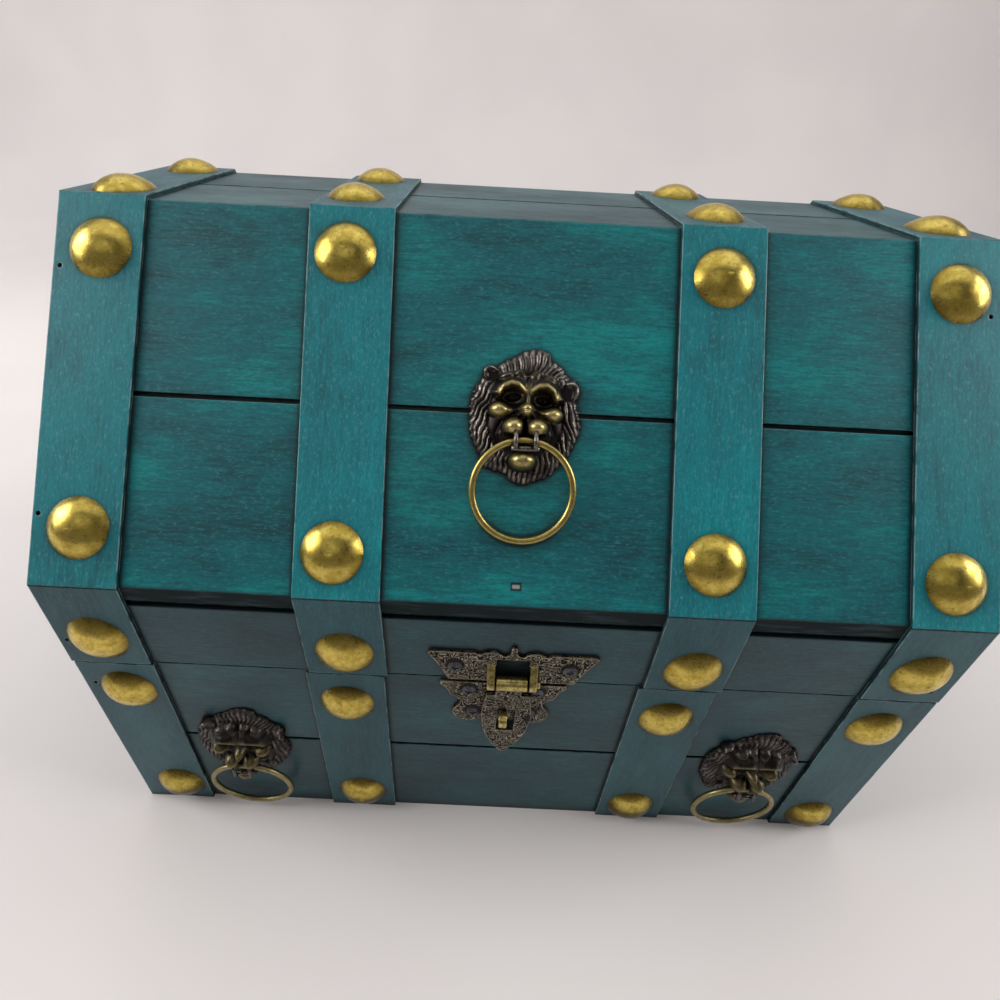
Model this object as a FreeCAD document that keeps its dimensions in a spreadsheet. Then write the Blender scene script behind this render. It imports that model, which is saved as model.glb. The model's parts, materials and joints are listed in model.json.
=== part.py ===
import FreeCAD, Part
import math
import os

import Sketcher
from FreeCAD import Placement, Rotation, Vector

# Treasure chest box: a planked wooden chest with a faceted lid, thin wooden strap bands held by
# dome nails, lion-head ring pulls, and an antique hasp over the seam.
# Millimetres. +X to the chest's right as it is looked at, front towards -Y, +Z up, floor at Z = 0.

SIZES = {
    # Outer faces of the boards, before the straps
    "chest_width": 230,
    "chest_depth": 173,
    "base_height": 69.6,
    "lid_seam": 0.4,
    "rail_height": 27.5,
    "slope_rise": 73.8,
    "top_width": 56.5,
    # Boards
    "base_board": 5,
    "lid_board": 2.7,
    "end_board": 5,
    "floor_board": 4,
    "groove_width": 1.2,
    "groove_depth": 1.5,
    "shoulder_gap": 1.9,
    "shoulder_notch": 1.6,
    # Straps, numbered from the left as the front is looked at
    "strap_width": 20.8,
    "strap_thickness": 1,
    "base_strap_one_shift": 0.5,
    "base_strap_two_shift": 0.4,
    "base_strap_three_shift": -1.2,
    "base_strap_four_shift": -0.3,
    # Dome nails and the brads beside them
    "nail_radius": 7.5,
    "nail_rise": 3.3,
    "nail_shank_radius": 0.9,
    "nail_shank_length": 3.2,
    "base_nail_low": 9.6,
    "seam_nail_gap": 10.9,
    "slope_nail_low": 11.4,
    "slope_nail_top": 13.02,
    "top_nail_edge": 9.25,
    "brad_radius": 0.6,
    "brad_length": 10,
    "brad_sink": 0.4,
    # Lion-head ring pulls
    "lion_width": 27,
    "lion_height": 33,
    "mane_rise": 1.9,
    "inner_mane_rise": 3.4,
    "mouth_drop": 6.3,
    "mouth_out": 4.6,
    "mouth_radius": 1.75,
    "mouth_width": 6.2,
    "mouth_corner_radius": 2.7,
    "fang_radius": 0.6,
    "ring_radius": 11.85,
    "ring_wire_radius": 0.85,
    "ring_rest_gap": 0.3,
    "lion_groove_gap": 1.8,
    "lion_screw_up": 7,
    "lion_screw_radius": 1.4,
    "lion_screw_bite": 2.6,
    "lion_screw_head_radius": 2.6,
    "lion_screw_head_rise": 1.6,
    # Hasp
    "hasp_place": 1,
    "hasp_plate_thickness": 0.9,
    "hasp_axis_out": 2.3,
    "hasp_axis_up": 1.3,
    "hasp_knuckle_radius": 2,
    "hasp_knuckle_width": 2.1,
    "hasp_knuckle_top": 7.4,
    "hasp_notch_top": 8.9,
    "hasp_barrel_width": 8.4,
    "hasp_pin_radius": 1,
    "hasp_pin_end": 1,
    "hasp_lid_plate_width": 44,
    "hasp_lid_plate_height": 10.8,
    "hasp_finial_height": 13.4,
    "hasp_lid_plate_foot": 0.2,
    "hasp_base_plate_shift": -1.9,
    "hasp_base_plate_width": 33.8,
    "hasp_base_plate_height": 17,
    "hasp_tongue_shift": -0.5,
    "hasp_tongue_width": 13.4,
    "hasp_tongue_length": 31.5,
    "hasp_tongue_thickness": 1.1,
    "hasp_tongue_lift": 0.9,
    "hasp_slot_width": 5,
    "hasp_slot_top": 10.5,
    "hasp_slot_bottom": 20.7,
    "staple_shift": -1.45,
    "staple_drop": 12.1,
    "staple_width": 2.1,
    "staple_half_height": 2.2,
    "staple_eye_radius": 1.1,
    "staple_eye_gap": 0.2,
    "hasp_screw_head_radius": 1.9,
    "hasp_screw_head_rise": 0.5,
    "hasp_screw_radius": 0.9,
    "hasp_screw_length": 4.5,
    "hasp_lid_screw_place": 15,
    "hasp_lid_screw_height": 5.3,
    "hasp_upper_screw_place": 9.2,
    "hasp_upper_screw_drop": 4.6,
    "hasp_lower_screw_place": 7.7,
    "hasp_lower_screw_drop": 14,
    "screw_slot_width": 0.5,
    "screw_slot_depth": 0.4,
    # Hinges at the back
    "hinge_width": 24,
    "hinge_leaf_height": 9.5,
    "hinge_leaf_thickness": 0.8,
    "hinge_axis_out": 2.2,
    "hinge_knuckle_radius": 1.9,
    "hinge_lid_knuckle_width": 7.9,
    "hinge_pin_radius": 0.9,
    "hinge_screw_head_radius": 1.8,
    "hinge_screw_head_rise": 0.7,
    "hinge_screw_radius": 0.9,
    "hinge_screw_length": 4.4,
    "hinge_screw_place": 8,
    "hinge_screw_drop": 6.5,
    # Clearances
    "knuckle_gap": 0.15,
    "swing_gap": 0.3,
    "pin_clearance": 0.06,
    "overrun": 1,
}

doc = FreeCAD.newDocument("treasure_chest")
sheet = doc.addObject("Spreadsheet::Sheet", "dims")
for row, (name, value) in enumerate(SIZES.items(), start=1):
    sheet.set(f"A{row}", name)
    sheet.set(f"B{row}", str(value))
    sheet.setAlias(f"B{row}", name)
doc.recompute()

NODES = []


def size(name):
    """A driving dimension, as the sheet holds it."""
    return float(sheet.get(name))


def worked_out(expression):
    """The number that an expression of the sheet's sizes comes to."""
    return float(sheet.evalExpression(expression))


def keep(piece, label):
    """Names a finished piece and puts it on the list of pieces to write."""
    piece.Label = label
    NODES.append(piece)
    return piece


# Expressions that several pieces share
HALF_WIDTH = "(dims.chest_width / 2)"
HALF_DEPTH = "(dims.chest_depth / 2)"
LID_FOOT = "(dims.base_height + dims.lid_seam)"
RUN = "((dims.chest_depth - dims.top_width) / 2)"
RISE = "dims.slope_rise"
SHOULDER = f"({LID_FOOT} + dims.rail_height)"
TOP = f"({SHOULDER} + {RISE})"
SLOPE = f"sqrt({RUN}^2 + {RISE}^2)"
COSINE = f"({RUN} / {SLOPE})"
SINE = f"({RISE} / {SLOPE})"
SHOULDER_LEAN = f"({RUN} / ({SLOPE} + {RISE}))"
TOP_LEAN = f"({RISE} / ({SLOPE} + {RUN}))"
LID_BOARD_TOP = f"({TOP} - dims.lid_board)"

# The lions' places up the slope and, by a share of the height that they leave free, up the base's front
LION_SLOPE_SHARE = 0.4818
LION_FOOT_SHARE = 0.1506
RING_REACH = "(dims.mouth_drop + 2 * dims.ring_radius + dims.ring_wire_radius)"
LION_FREE_HEIGHT = f"(dims.base_height - {RING_REACH} - dims.lion_height / 2)"
LION_BASE = f"({RING_REACH} + {LION_FOOT_SHARE} * {LION_FREE_HEIGHT})"

# Grooves: the base's runs behind the lions, and the slope's is at a share of its length
SLOPE_GROOVE_SHARE = 0.486
BASE_GROOVE = f"({LION_BASE} + dims.lion_groove_gap)"
SLOPE_GROOVE = f"({SLOPE_GROOVE_SHARE} * {SLOPE})"

# The straps, two base lions and the hasp stand side by side. Each place is the widths beyond it
# and a share of the width that they leave free.
FREE_WIDTH = "(dims.chest_width - 4 * dims.strap_width - 2 * dims.lion_width - dims.hasp_lid_plate_width)"
OUTER_STRAP = f"({HALF_WIDTH} - dims.strap_width / 2)"
INNER_STRAP = f"({OUTER_STRAP} - dims.strap_width - dims.lion_width)"
OUTER_FITTING = f"({HALF_WIDTH} - dims.strap_width - dims.lion_width / 2)"
STRAP_SHARES = {"two": 0.2746, "three": 0.209}
LION_SIDE_SHARES = {"left": 0.084, "right": 0.1086}
HINGE_SHARE = 0.1168

# The same slope as numbers, for the pieces that sit on it
run = (size("chest_depth") - size("top_width")) / 2
rise = size("slope_rise")
slope_length = math.hypot(run, rise)
slope_cosine = run / slope_length
slope_sine = rise / slope_length
half_depth = size("chest_depth") / 2
half_width = size("chest_width") / 2
seam_height = size("base_height") + size("lid_seam") / 2
lid_foot = size("base_height") + size("lid_seam")
shoulder_height = lid_foot + size("rail_height")


def on_slope(along, deep):
    """Expressions for a point of the front slope, up it from its foot and deep under its face."""
    y = f"-{HALF_DEPTH} + ({along}) * {COSINE} + ({deep}) * {SINE}"
    z = f"{SHOULDER} + ({along}) * {SINE} - ({deep}) * {COSINE}"
    return y, z


def under_slope(inward):
    """Expression for the height of the slope board's underside, inward from the front face."""
    return f"{SHOULDER} - dims.lid_board / {COSINE} + ({inward}) * {RISE} / {RUN}"


def mirrored(corners):
    """The same section at the back of the chest."""
    return [(f"-({y})", z) for y, z in corners]


def slab(name, corner, spans):
    """A square board: lowest corner and spans are expressions along X, Y and Z."""
    board = doc.addObject("Part::Box", name)
    for side, span in zip(("Length", "Width", "Height"), spans):
        board.setExpression(side, span)
    for axis, place in zip("xyz", corner):
        board.setExpression(f"Placement.Base.{axis}", place)
    return board


def strip(name, corners, start, length):
    """A board of constant section along X: corners are (y, z) expressions in order round it."""
    body = doc.addObject("PartDesign::Body", name)
    sketch = body.newObject("Sketcher::SketchObject", f"{name}_section")
    plane = next(feature for feature in body.Origin.OriginFeatures if feature.Role == "YZ_Plane")
    sketch.AttachmentSupport = [(plane, "")]
    sketch.MapMode = "FlatFace"
    points = [Vector(*(float(sketch.evalExpression(part)) for part in corner)) for corner in corners]
    count = len(points)
    for index, point in enumerate(points):
        sketch.addGeometry(Part.LineSegment(point, points[(index + 1) % count]))
    for index in range(count):
        sketch.addConstraint(Sketcher.Constraint("Coincident", index, 2, (index + 1) % count, 1))
    for index, (point, corner) in enumerate(zip(points, corners)):
        for kind, distance, expression in zip(("DistanceX", "DistanceY"), (point.x, point.y), corner):
            rule = sketch.addConstraint(Sketcher.Constraint(kind, -1, 1, index, 1, distance))
            sketch.setExpression(f"Constraints[{rule}]", expression)
    pad = body.newObject("PartDesign::Pad", f"{name}_pad")
    pad.Profile = sketch
    pad.setExpression("Length", length)
    body.setExpression("Placement.Base.x", start)
    return body


def leaning_strip(name, corners, start, length, lean, level):
    """A strip as above that leans sideways as it rises: lean is its shift along X per height over level."""
    left = []
    for y, z in corners:
        height = worked_out(z)
        left.append(Vector(worked_out(start) + lean * (height - level), worked_out(y), height))
    right = [point + Vector(worked_out(length), 0, 0) for point in left]
    sides = [left, right]
    for index in range(len(left)):
        sides.append([left[index - 1], left[index], right[index], right[index - 1]])
    faces = [Part.Face(Part.makePolygon(side + side[:1])) for side in sides]
    solid = Part.makeSolid(Part.makeShell(faces))
    if solid.Volume < 0:
        solid.reverse()
    return shape_piece(name, solid)


def cut(name, base, tool):
    """A piece with holes or grooves taken out of it."""
    result = doc.addObject("Part::Cut", name)
    result.Base = base
    result.Tool = tool
    return result


def shape_piece(name, shape):
    """A piece whose shape is set here rather than by a sketch or a primitive."""
    piece = doc.addObject("Part::Feature", name)
    piece.Shape = shape
    return piece


def seat(x, y, z, up, out):
    """The placement of a fitting on a face: its own Y points up the face and its Z out of it."""
    across = up.cross(out)
    matrix = FreeCAD.Matrix(
        across.x, up.x, out.x, x,
        across.y, up.y, out.y, y,
        across.z, up.z, out.z, z,
        0, 0, 0, 1)
    return Placement(matrix)


UP = Vector(0, 0, 1)
FRONT = Vector(0, -1, 0)
BACK = Vector(0, 1, 0)


def on_front(x, z, proud):
    """A seat on the front wall, proud of the boards."""
    return seat(x, -half_depth - proud, z, UP, FRONT)


def on_back(x, z, proud):
    """A seat on the back wall, proud of the boards."""
    return seat(x, half_depth + proud, z, UP, BACK)


def on_lid_slope(x, along, proud, side):
    """A seat on the front slope (side -1) or the back slope (side 1), along it from its foot."""
    up = Vector(0, -side * slope_cosine, slope_sine)
    out = Vector(0, side * slope_sine, slope_cosine)
    foot = Vector(x, side * half_depth, shoulder_height)
    point = foot + up * along + out * proud
    return seat(point.x, point.y, point.z, up, out)


def on_top(x, y, proud):
    """A seat on the flat top of the lid."""
    return seat(x, y, shoulder_height + rise + proud, BACK, UP)


def placed(shape, seats):
    """Copies of a shape, one at each seat, as one group of separate solids."""
    copies = []
    for spot in seats:
        copy = shape.copy()
        copy.Placement = spot.multiply(copy.Placement)
        copies.append(copy)
    return Part.makeCompound(copies)


def rod(radius, low, high):
    """A round rod along a seat's own Z."""
    return Part.makeCylinder(radius, high - low, Vector(0, 0, low))


def cross_rod(radius, left, right, up, out):
    """A round rod along a seat's own X, at a height up the face and out of it."""
    return Part.makeCylinder(radius, right - left, Vector(left, up, out), Vector(1, 0, 0))


def block(low, high):
    """A square block between two corners."""
    span = high - low
    return Part.makeBox(span.x, span.y, span.z, low)


ARC_NUMBERS = 4


def outline_solid(points, thickness):
    """A plate from an outline: two numbers end a straight edge, four give an arc's middle and end."""
    edges = []
    last = Vector(*points[-1][-2:], 0)
    for point in points:
        end = Vector(*point[-2:], 0)
        if len(point) == ARC_NUMBERS:
            edges.append(Part.Arc(last, Vector(*point[:2], 0), end).toShape())
        else:
            edges.append(Part.makeLine(last, end))
        last = end
    return Part.Face(Part.Wire(edges)).extrude(Vector(0, 0, thickness))


def both_sides(right_side):
    """A whole outline from its right side, which runs from the bottom centre to the top centre."""
    left_side = []
    ends = [point[-2:] for point in right_side]
    for index in range(len(right_side) - 1, 0, -1):
        middle = right_side[index][:-2]
        end = ends[index - 1]
        left_side.append(tuple([-middle[0], middle[1]] if middle else []) + (-end[0], end[1]))
    return right_side[1:] + left_side


# Strap places along X, and how far each base strap sits beside its lid strap
STRAP_EXPRESSIONS = [
    f"-{OUTER_STRAP}",
    f"-({INNER_STRAP} - {STRAP_SHARES['two']} * {FREE_WIDTH})",
    f"({INNER_STRAP} - {STRAP_SHARES['three']} * {FREE_WIDTH})",
    OUTER_STRAP,
]
STRAP_PLACES = [worked_out(expression) for expression in STRAP_EXPRESSIONS]
STRAP_WORDS = ["one", "two", "three", "four"]
BASE_STRAP_PLACES = [
    place + size(f"base_strap_{word}_shift") for place, word in zip(STRAP_PLACES, STRAP_WORDS)]

# Rows of dome nails. On the front and the top each nail is off its row's place as in the photo: across
# and up, in shares of a nail's radius, for straps one to four. On the back they stand at the place.
NAIL_SHIFT_SHARES = {
    "base_low": [(0.269, -0.04), (0.019, -0.063), (-0.024, -0.261), (0.017, -0.27)],
    "base_high": [(0.088, 0.012), (-0.071, -0.211), (-0.02, -0.288), (-0.088, -0.256)],
    "rail": [(-0.015, -0.163), (0.147, -0.323), (0.084, -0.427), (0.037, -0.029)],
    "slope_low": [(0.055, 0.284), (-0.1, -0.108), (0.029, 0.101), (-0.024, -0.121)],
    "slope_high": [(0.076, 0.005), (-0.247, 0.268), (0.021, 0.091), (-0.025, -0.023)],
    "top_front": [(0.133, -0.2), (-0.347, 0.533), (0.16, 0.293), (0.067, 0.16)],
    "top_back": [(0.133, 0.067), (-0.267, 0.227), (0.067, 0.227), (0.04, 0.227)],
}
# Brads that the photo shows on the outer straps: the side, the row, and in shares of a nail's radius how
# far in from the chest's end and how far up from the row's place
BASE_BRAD_SHARES = [(-1, "base_high", 0.427, 0.32)]
LID_BRAD_SHARES = [
    (-1, "slope_high", 0.213, -0.653), (-1, "slope_low", 0.173, 0.68), (-1, "rail", 0.267, -0.333),
    (1, "slope_high", 0.427, -0.733), (1, "rail", 0.573, -0.88)]
strap_proud = size("strap_thickness")
nail_radius = size("nail_radius")
top_reach = size("top_width") / 2 - size("top_nail_edge")
ROW_PLACES = {
    "base_low": size("base_nail_low"),
    "base_high": size("base_height") - size("seam_nail_gap"),
    "rail": lid_foot + size("seam_nail_gap"),
    "slope_low": size("slope_nail_low"),
    "slope_high": slope_length - size("slope_nail_top"),
    "top_front": -top_reach,
    "top_back": top_reach,
}


def front_seat(row, x, up):
    """A seat on the front or top of a strap, for a fastening of the named row."""
    if row.startswith("top"):
        return on_top(x, up, strap_proud)
    if row.startswith("slope"):
        return on_lid_slope(x, up, strap_proud, -1)
    return on_front(x, up, strap_proud)


def back_seat(row, x, up):
    """A seat on the back of a strap, for a fastening of the named row."""
    if row.startswith("slope"):
        return on_lid_slope(x, up, strap_proud, 1)
    return on_back(x, up, strap_proud)


def nail_seats(rows, places):
    """Seats of the nails in the named rows, on straps at the places along X."""
    seats = []
    for row in rows:
        for x, (across, up) in zip(places, NAIL_SHIFT_SHARES[row]):
            seats.append(front_seat(row, x + across * nail_radius, ROW_PLACES[row] + up * nail_radius))
        if not row.startswith("top"):
            seats += [back_seat(row, x, ROW_PLACES[row]) for x in places]
    return seats


def brad_seats(brads):
    """Seats of the brads on the outer straps."""
    return [front_seat(row, side * (half_width - inward * nail_radius), ROW_PLACES[row] + up * nail_radius)
            for side, row, inward, up in brads]


base_nail_seats = nail_seats(("base_low", "base_high"), BASE_STRAP_PLACES)
lid_nail_seats = nail_seats(("rail", "slope_low", "slope_high", "top_front", "top_back"), STRAP_PLACES)
base_brad_seats = brad_seats(BASE_BRAD_SHARES)
lid_brad_seats = brad_seats(LID_BRAD_SHARES)


def dome_nail():
    """An upholstery nail: a domed head with a flat underside, and a short shank."""
    radius = size("nail_radius")
    height = size("nail_rise")
    shank = size("nail_shank_radius")
    length = size("nail_shank_length")
    dome_radius = (radius ** 2 + height ** 2) / (2 * height)
    half_turn = math.asin(radius / dome_radius) / 2
    middle = Vector(dome_radius * math.sin(half_turn), 0,
                    height - dome_radius * (1 - math.cos(half_turn)))
    corners = [Vector(radius, 0, 0), Vector(shank, 0, 0), Vector(shank, 0, -length),
               Vector(0, 0, -length), Vector(0, 0, height)]
    edges = [Part.makeLine(a, b) for a, b in zip(corners, corners[1:])]
    edges.append(Part.Arc(corners[-1], middle, corners[0]).toShape())
    return Part.Face(Part.Wire(edges)).revolve(Vector(0, 0, 0), UP, 360)


overrun = size("overrun")
nail_hole = rod(size("nail_shank_radius"), -size("nail_shank_length"), overrun)
brad_foot = -size("brad_sink") - size("brad_length")
brad_hole = rod(size("brad_radius"), brad_foot, overrun)
brad = rod(size("brad_radius"), brad_foot, -size("brad_sink"))


def screw(head_radius, head_rise, radius, length):
    """A round-headed screw with a cross slot: its head stands on Z = 0."""
    dome = (head_radius ** 2 + head_rise ** 2) / (2 * head_rise)
    head = Part.makeSphere(dome, Vector(0, 0, head_rise - dome))
    head = head.common(block(Vector(-dome, -dome, 0), Vector(dome, dome, dome)))
    shank = rod(radius, -length, 0)
    half_slot = size("screw_slot_width") / 2
    floor = head_rise - size("screw_slot_depth")
    arm = head_radius / 2
    slots = [block(Vector(-arm, -half_slot, floor), Vector(arm, half_slot, head_rise + overrun)),
             block(Vector(-half_slot, -arm, floor), Vector(half_slot, arm, head_rise + overrun))]
    return head.fuse(shank).removeSplitter().cut(Part.makeCompound(slots))


# Seats of the hinges, the hasp and the lion heads
free_width = worked_out(FREE_WIDTH)
outer_fitting = worked_out(OUTER_FITTING)
hinge_place = outer_fitting - HINGE_SHARE * free_width
HINGE_SEATS = {"left": on_back(-hinge_place, seam_height, 0),
               "right": on_back(hinge_place, seam_height, 0)}
HASP_SEAT = on_front(size("hasp_place"), seam_height, 0)
HASP_BASE_SEAT = on_front(size("hasp_place") + size("hasp_base_plate_shift"), seam_height, 0)
lion_left = outer_fitting - LION_SIDE_SHARES["left"] * free_width
lion_right = outer_fitting - LION_SIDE_SHARES["right"] * free_width
lion_base_height = worked_out(LION_BASE)
LION_SEATS = {
    "lid": on_lid_slope(0, LION_SLOPE_SHARE * slope_length, 0, -1),
    "left": on_front(-lion_left, lion_base_height, 0),
    "right": on_front(lion_right, lion_base_height, 0),
}


def spots(seat_placement, places):
    """Seats beside a fitting's own seat: places are (across, up, out) from it."""
    return [seat_placement.multiply(Placement(Vector(*place), Rotation())) for place in places]


# Screw places on the hinges and the hasp
hinge_face = size("hinge_leaf_thickness")
hasp_face = size("hasp_plate_thickness")
HINGE_SCREW_ACROSS = (-size("hinge_screw_place"), size("hinge_screw_place"))
hinge_drop = size("hinge_screw_drop")
hinge_base_screw_seats = []
hinge_lid_screw_seats = []
for hinge_seat in HINGE_SEATS.values():
    hinge_base_screw_seats += spots(hinge_seat, [(x, -hinge_drop, hinge_face) for x in HINGE_SCREW_ACROSS])
    hinge_lid_screw_seats += spots(hinge_seat, [(x, hinge_drop, hinge_face) for x in HINGE_SCREW_ACROSS])
hasp_lid_screw_places = [
    (side * size("hasp_lid_screw_place"), size("hasp_lid_screw_height"), hasp_face) for side in (-1, 1)]
hasp_base_screw_places = [
    (side * size(f"hasp_{tier}_screw_place"), -size(f"hasp_{tier}_screw_drop"), hasp_face)
    for side in (-1, 1) for tier in ("upper", "lower")]
hasp_lid_screw_seats = spots(HASP_SEAT, hasp_lid_screw_places)
hasp_base_screw_seats = spots(HASP_BASE_SEAT, hasp_base_screw_places)

hinge_screw_hole = rod(size("hinge_screw_radius"), -size("hinge_screw_length"), overrun)
hasp_screw_hole = rod(size("hasp_screw_radius"), -size("hasp_screw_length"), overrun)


def lion_screw(board):
    """A screw from inside the chest, through a board and into the back of a lion head."""
    head = rod(size("lion_screw_head_radius"), -board - size("lion_screw_head_rise"), -board)
    shank = rod(size("lion_screw_radius"), -board, size("lion_screw_bite"))
    return head.fuse(shank)


def lion_screw_seats(names):
    """Seats of the screws behind the named lion heads."""
    place = [(0, size("lion_screw_up"), 0)]
    return [spot for name in names for spot in spots(LION_SEATS[name], place)]


lion_screw_hole = rod(size("lion_screw_radius"), -size("base_board") - overrun, size("lion_screw_bite"))

# Every hole that the fastenings make in the base's wood and in the lid's wood
base_holes = shape_piece("base_holes", Part.makeCompound([
    placed(nail_hole, base_nail_seats),
    placed(brad_hole, base_brad_seats),
    placed(hinge_screw_hole, hinge_base_screw_seats),
    placed(hasp_screw_hole, hasp_base_screw_seats),
    placed(lion_screw_hole, lion_screw_seats(("left", "right"))),
]))
lid_holes = shape_piece("lid_holes", Part.makeCompound([
    placed(nail_hole, lid_nail_seats),
    placed(brad_hole, lid_brad_seats),
    placed(hinge_screw_hole, hinge_lid_screw_seats),
    placed(hasp_screw_hole, hasp_lid_screw_seats),
    placed(lion_screw_hole, lion_screw_seats(("lid",))),
]))

# Base: floor, two ends, and front and back walls of two planks each
INNER_DEPTH = "(dims.chest_depth - 2 * dims.base_board)"
keep(slab(
    "base_floor",
    (f"-{HALF_WIDTH} + dims.end_board", f"-{INNER_DEPTH} / 2", "0"),
    ("dims.chest_width - 2 * dims.end_board", INNER_DEPTH, "dims.floor_board")), "base_floor")

for name, start, groove_start in (
        ("left", f"-{HALF_WIDTH}", f"-{HALF_WIDTH} - dims.overrun"),
        ("right", f"{HALF_WIDTH} - dims.end_board", f"{HALF_WIDTH} - dims.groove_depth")):
    panel = slab(
        f"base_{name}_panel",
        (start, f"-{INNER_DEPTH} / 2", "0"),
        ("dims.end_board", INNER_DEPTH, "dims.base_height"))
    groove = slab(
        f"base_{name}_groove",
        (groove_start, f"-{HALF_DEPTH}", BASE_GROOVE),
        ("dims.groove_depth + dims.overrun", "dims.chest_depth", "dims.groove_width"))
    grooved = cut(f"base_{name}_grooved", panel, groove)
    keep(cut(f"base_{name}_end", grooved, base_holes), f"base_{name}_end")

LOWER_PLANK = [
    (f"-{HALF_DEPTH}", "0"),
    (f"-{HALF_DEPTH}", BASE_GROOVE),
    (f"-{HALF_DEPTH} + dims.base_board", BASE_GROOVE),
    (f"-{HALF_DEPTH} + dims.base_board", "0"),
]
UPPER_PLANK = [
    (f"-{HALF_DEPTH}", f"{BASE_GROOVE} + dims.groove_width"),
    (f"-{HALF_DEPTH}", "dims.base_height"),
    (f"-{HALF_DEPTH} + dims.base_board", "dims.base_height"),
    (f"-{HALF_DEPTH} + dims.base_board", BASE_GROOVE),
    (f"-{HALF_DEPTH} + dims.groove_depth", BASE_GROOVE),
    (f"-{HALF_DEPTH} + dims.groove_depth", f"{BASE_GROOVE} + dims.groove_width"),
]
for wall, turn in (("front", list), ("back", mirrored)):
    for level, section in (("lower", LOWER_PLANK), ("upper", UPPER_PLANK)):
        label = f"base_{wall}_{level}_plank"
        blank = strip(f"{label}_blank", turn(section), f"-{HALF_WIDTH}", "dims.chest_width")
        keep(cut(label, blank, base_holes), label)

# Base straps, front and back
STRAP_STARTS = {"front": f"-{HALF_DEPTH} - dims.strap_thickness", "back": HALF_DEPTH}
for wall, strap_start in STRAP_STARTS.items():
    for number, (place, word) in enumerate(zip(STRAP_EXPRESSIONS, STRAP_WORDS), start=1):
        label = f"base_{wall}_strap_{number}"
        blank = slab(
            f"{label}_blank",
            (f"{place} + dims.base_strap_{word}_shift - dims.strap_width / 2", strap_start, "0"),
            ("dims.strap_width", "dims.strap_thickness", "dims.base_height"))
        keep(cut(label, blank, base_holes), label)

# Lid: rails, two planks on each slope, two planks on top, and the ends
RAIL_TOP = f"{under_slope('0')} - dims.shoulder_gap"
RAIL = [
    (f"-{HALF_DEPTH}", LID_FOOT),
    (f"-{HALF_DEPTH}", RAIL_TOP),
    (f"-{HALF_DEPTH} + dims.shoulder_notch", RAIL_TOP),
    (f"-{HALF_DEPTH} + dims.shoulder_notch", under_slope("dims.shoulder_notch")),
    (f"-{HALF_DEPTH} + dims.base_board", under_slope("dims.base_board")),
    (f"-{HALF_DEPTH} + dims.base_board", LID_FOOT),
]
SLOPE_LOWER = [
    on_slope("0", "0"),
    on_slope(SLOPE_GROOVE, "0"),
    on_slope(SLOPE_GROOVE, "dims.lid_board"),
    (f"-{HALF_DEPTH}", under_slope("0")),
]
TOP_INNER = f"-(dims.top_width / 2 - dims.lid_board * {TOP_LEAN})"
SLOPE_UPPER = [
    on_slope(f"{SLOPE_GROOVE} + dims.groove_width", "0"),
    ("-dims.top_width / 2", TOP),
    (TOP_INNER, LID_BOARD_TOP),
    on_slope(SLOPE_GROOVE, "dims.lid_board"),
    on_slope(SLOPE_GROOVE, "dims.groove_depth"),
    on_slope(f"{SLOPE_GROOVE} + dims.groove_width", "dims.groove_depth"),
]
TOP_PLANK = [
    (TOP_INNER, LID_BOARD_TOP),
    ("-dims.top_width / 2", TOP),
    ("-dims.groove_width / 2", TOP),
    ("-dims.groove_width / 2", f"{TOP} - dims.groove_depth"),
    ("0", f"{TOP} - dims.groove_depth"),
    ("0", LID_BOARD_TOP),
]
LID_SECTIONS = {
    "{}_rail": RAIL,
    "{}_slope_lower_plank": SLOPE_LOWER,
    "{}_slope_upper_plank": SLOPE_UPPER,
    "top_{}_plank": TOP_PLANK,
}
for wall, turn in (("front", list), ("back", mirrored)):
    for pattern, section in LID_SECTIONS.items():
        label = f"lid_{pattern.format(wall)}"
        blank = strip(f"{label}_blank", turn(section), f"-{HALF_WIDTH}", "dims.chest_width")
        keep(cut(label, blank, lid_holes), label)

END_FRONT = [
    (f"-{HALF_DEPTH} + dims.base_board", LID_FOOT),
    (f"-{HALF_DEPTH} + dims.base_board", under_slope("dims.base_board")),
    (TOP_INNER, LID_BOARD_TOP),
]
END_SECTION = END_FRONT + list(reversed(mirrored(END_FRONT)))
UPPER_GROOVE = f"({SHOULDER} + {RISE} / 2)"
for name, start, groove_start in (
        ("left", f"-{HALF_WIDTH}", f"-{HALF_WIDTH} - dims.overrun"),
        ("right", f"{HALF_WIDTH} - dims.end_board", f"{HALF_WIDTH} - dims.groove_depth")):
    panel = strip(f"lid_{name}_panel", END_SECTION, start, "dims.end_board")
    for level, height in (("low", SHOULDER), ("high", UPPER_GROOVE)):
        groove = slab(
            f"lid_{name}_{level}_groove",
            (groove_start, f"-{HALF_DEPTH}", height),
            ("dims.groove_depth + dims.overrun", "dims.chest_depth", "dims.groove_width"))
        panel = cut(f"lid_{name}_{level}_grooved", panel, groove)
    keep(cut(f"lid_{name}_end", panel, lid_holes), f"lid_{name}_end")

# Lid straps: one thin strip bent over the rails, the slopes and the top. The second leans a little.
STRAP_INSIDE = [
    (f"-{HALF_DEPTH}", LID_FOOT),
    (f"-{HALF_DEPTH}", SHOULDER),
    ("-dims.top_width / 2", TOP),
]
STRAP_OUTSIDE = [
    (f"-{HALF_DEPTH} - dims.strap_thickness", LID_FOOT),
    (f"-{HALF_DEPTH} - dims.strap_thickness",
     f"{SHOULDER} + dims.strap_thickness * {SHOULDER_LEAN}"),
    (f"-(dims.top_width / 2 + dims.strap_thickness * {TOP_LEAN})",
     f"{TOP} + dims.strap_thickness"),
]
STRAP_SECTION = (
    STRAP_INSIDE + list(reversed(mirrored(STRAP_INSIDE)))
    + mirrored(STRAP_OUTSIDE) + list(reversed(STRAP_OUTSIDE)))
STRAP_LEAN_SHARES = (0, -0.02, 0, 0)
slope_middle = shoulder_height + rise / 2
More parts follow.
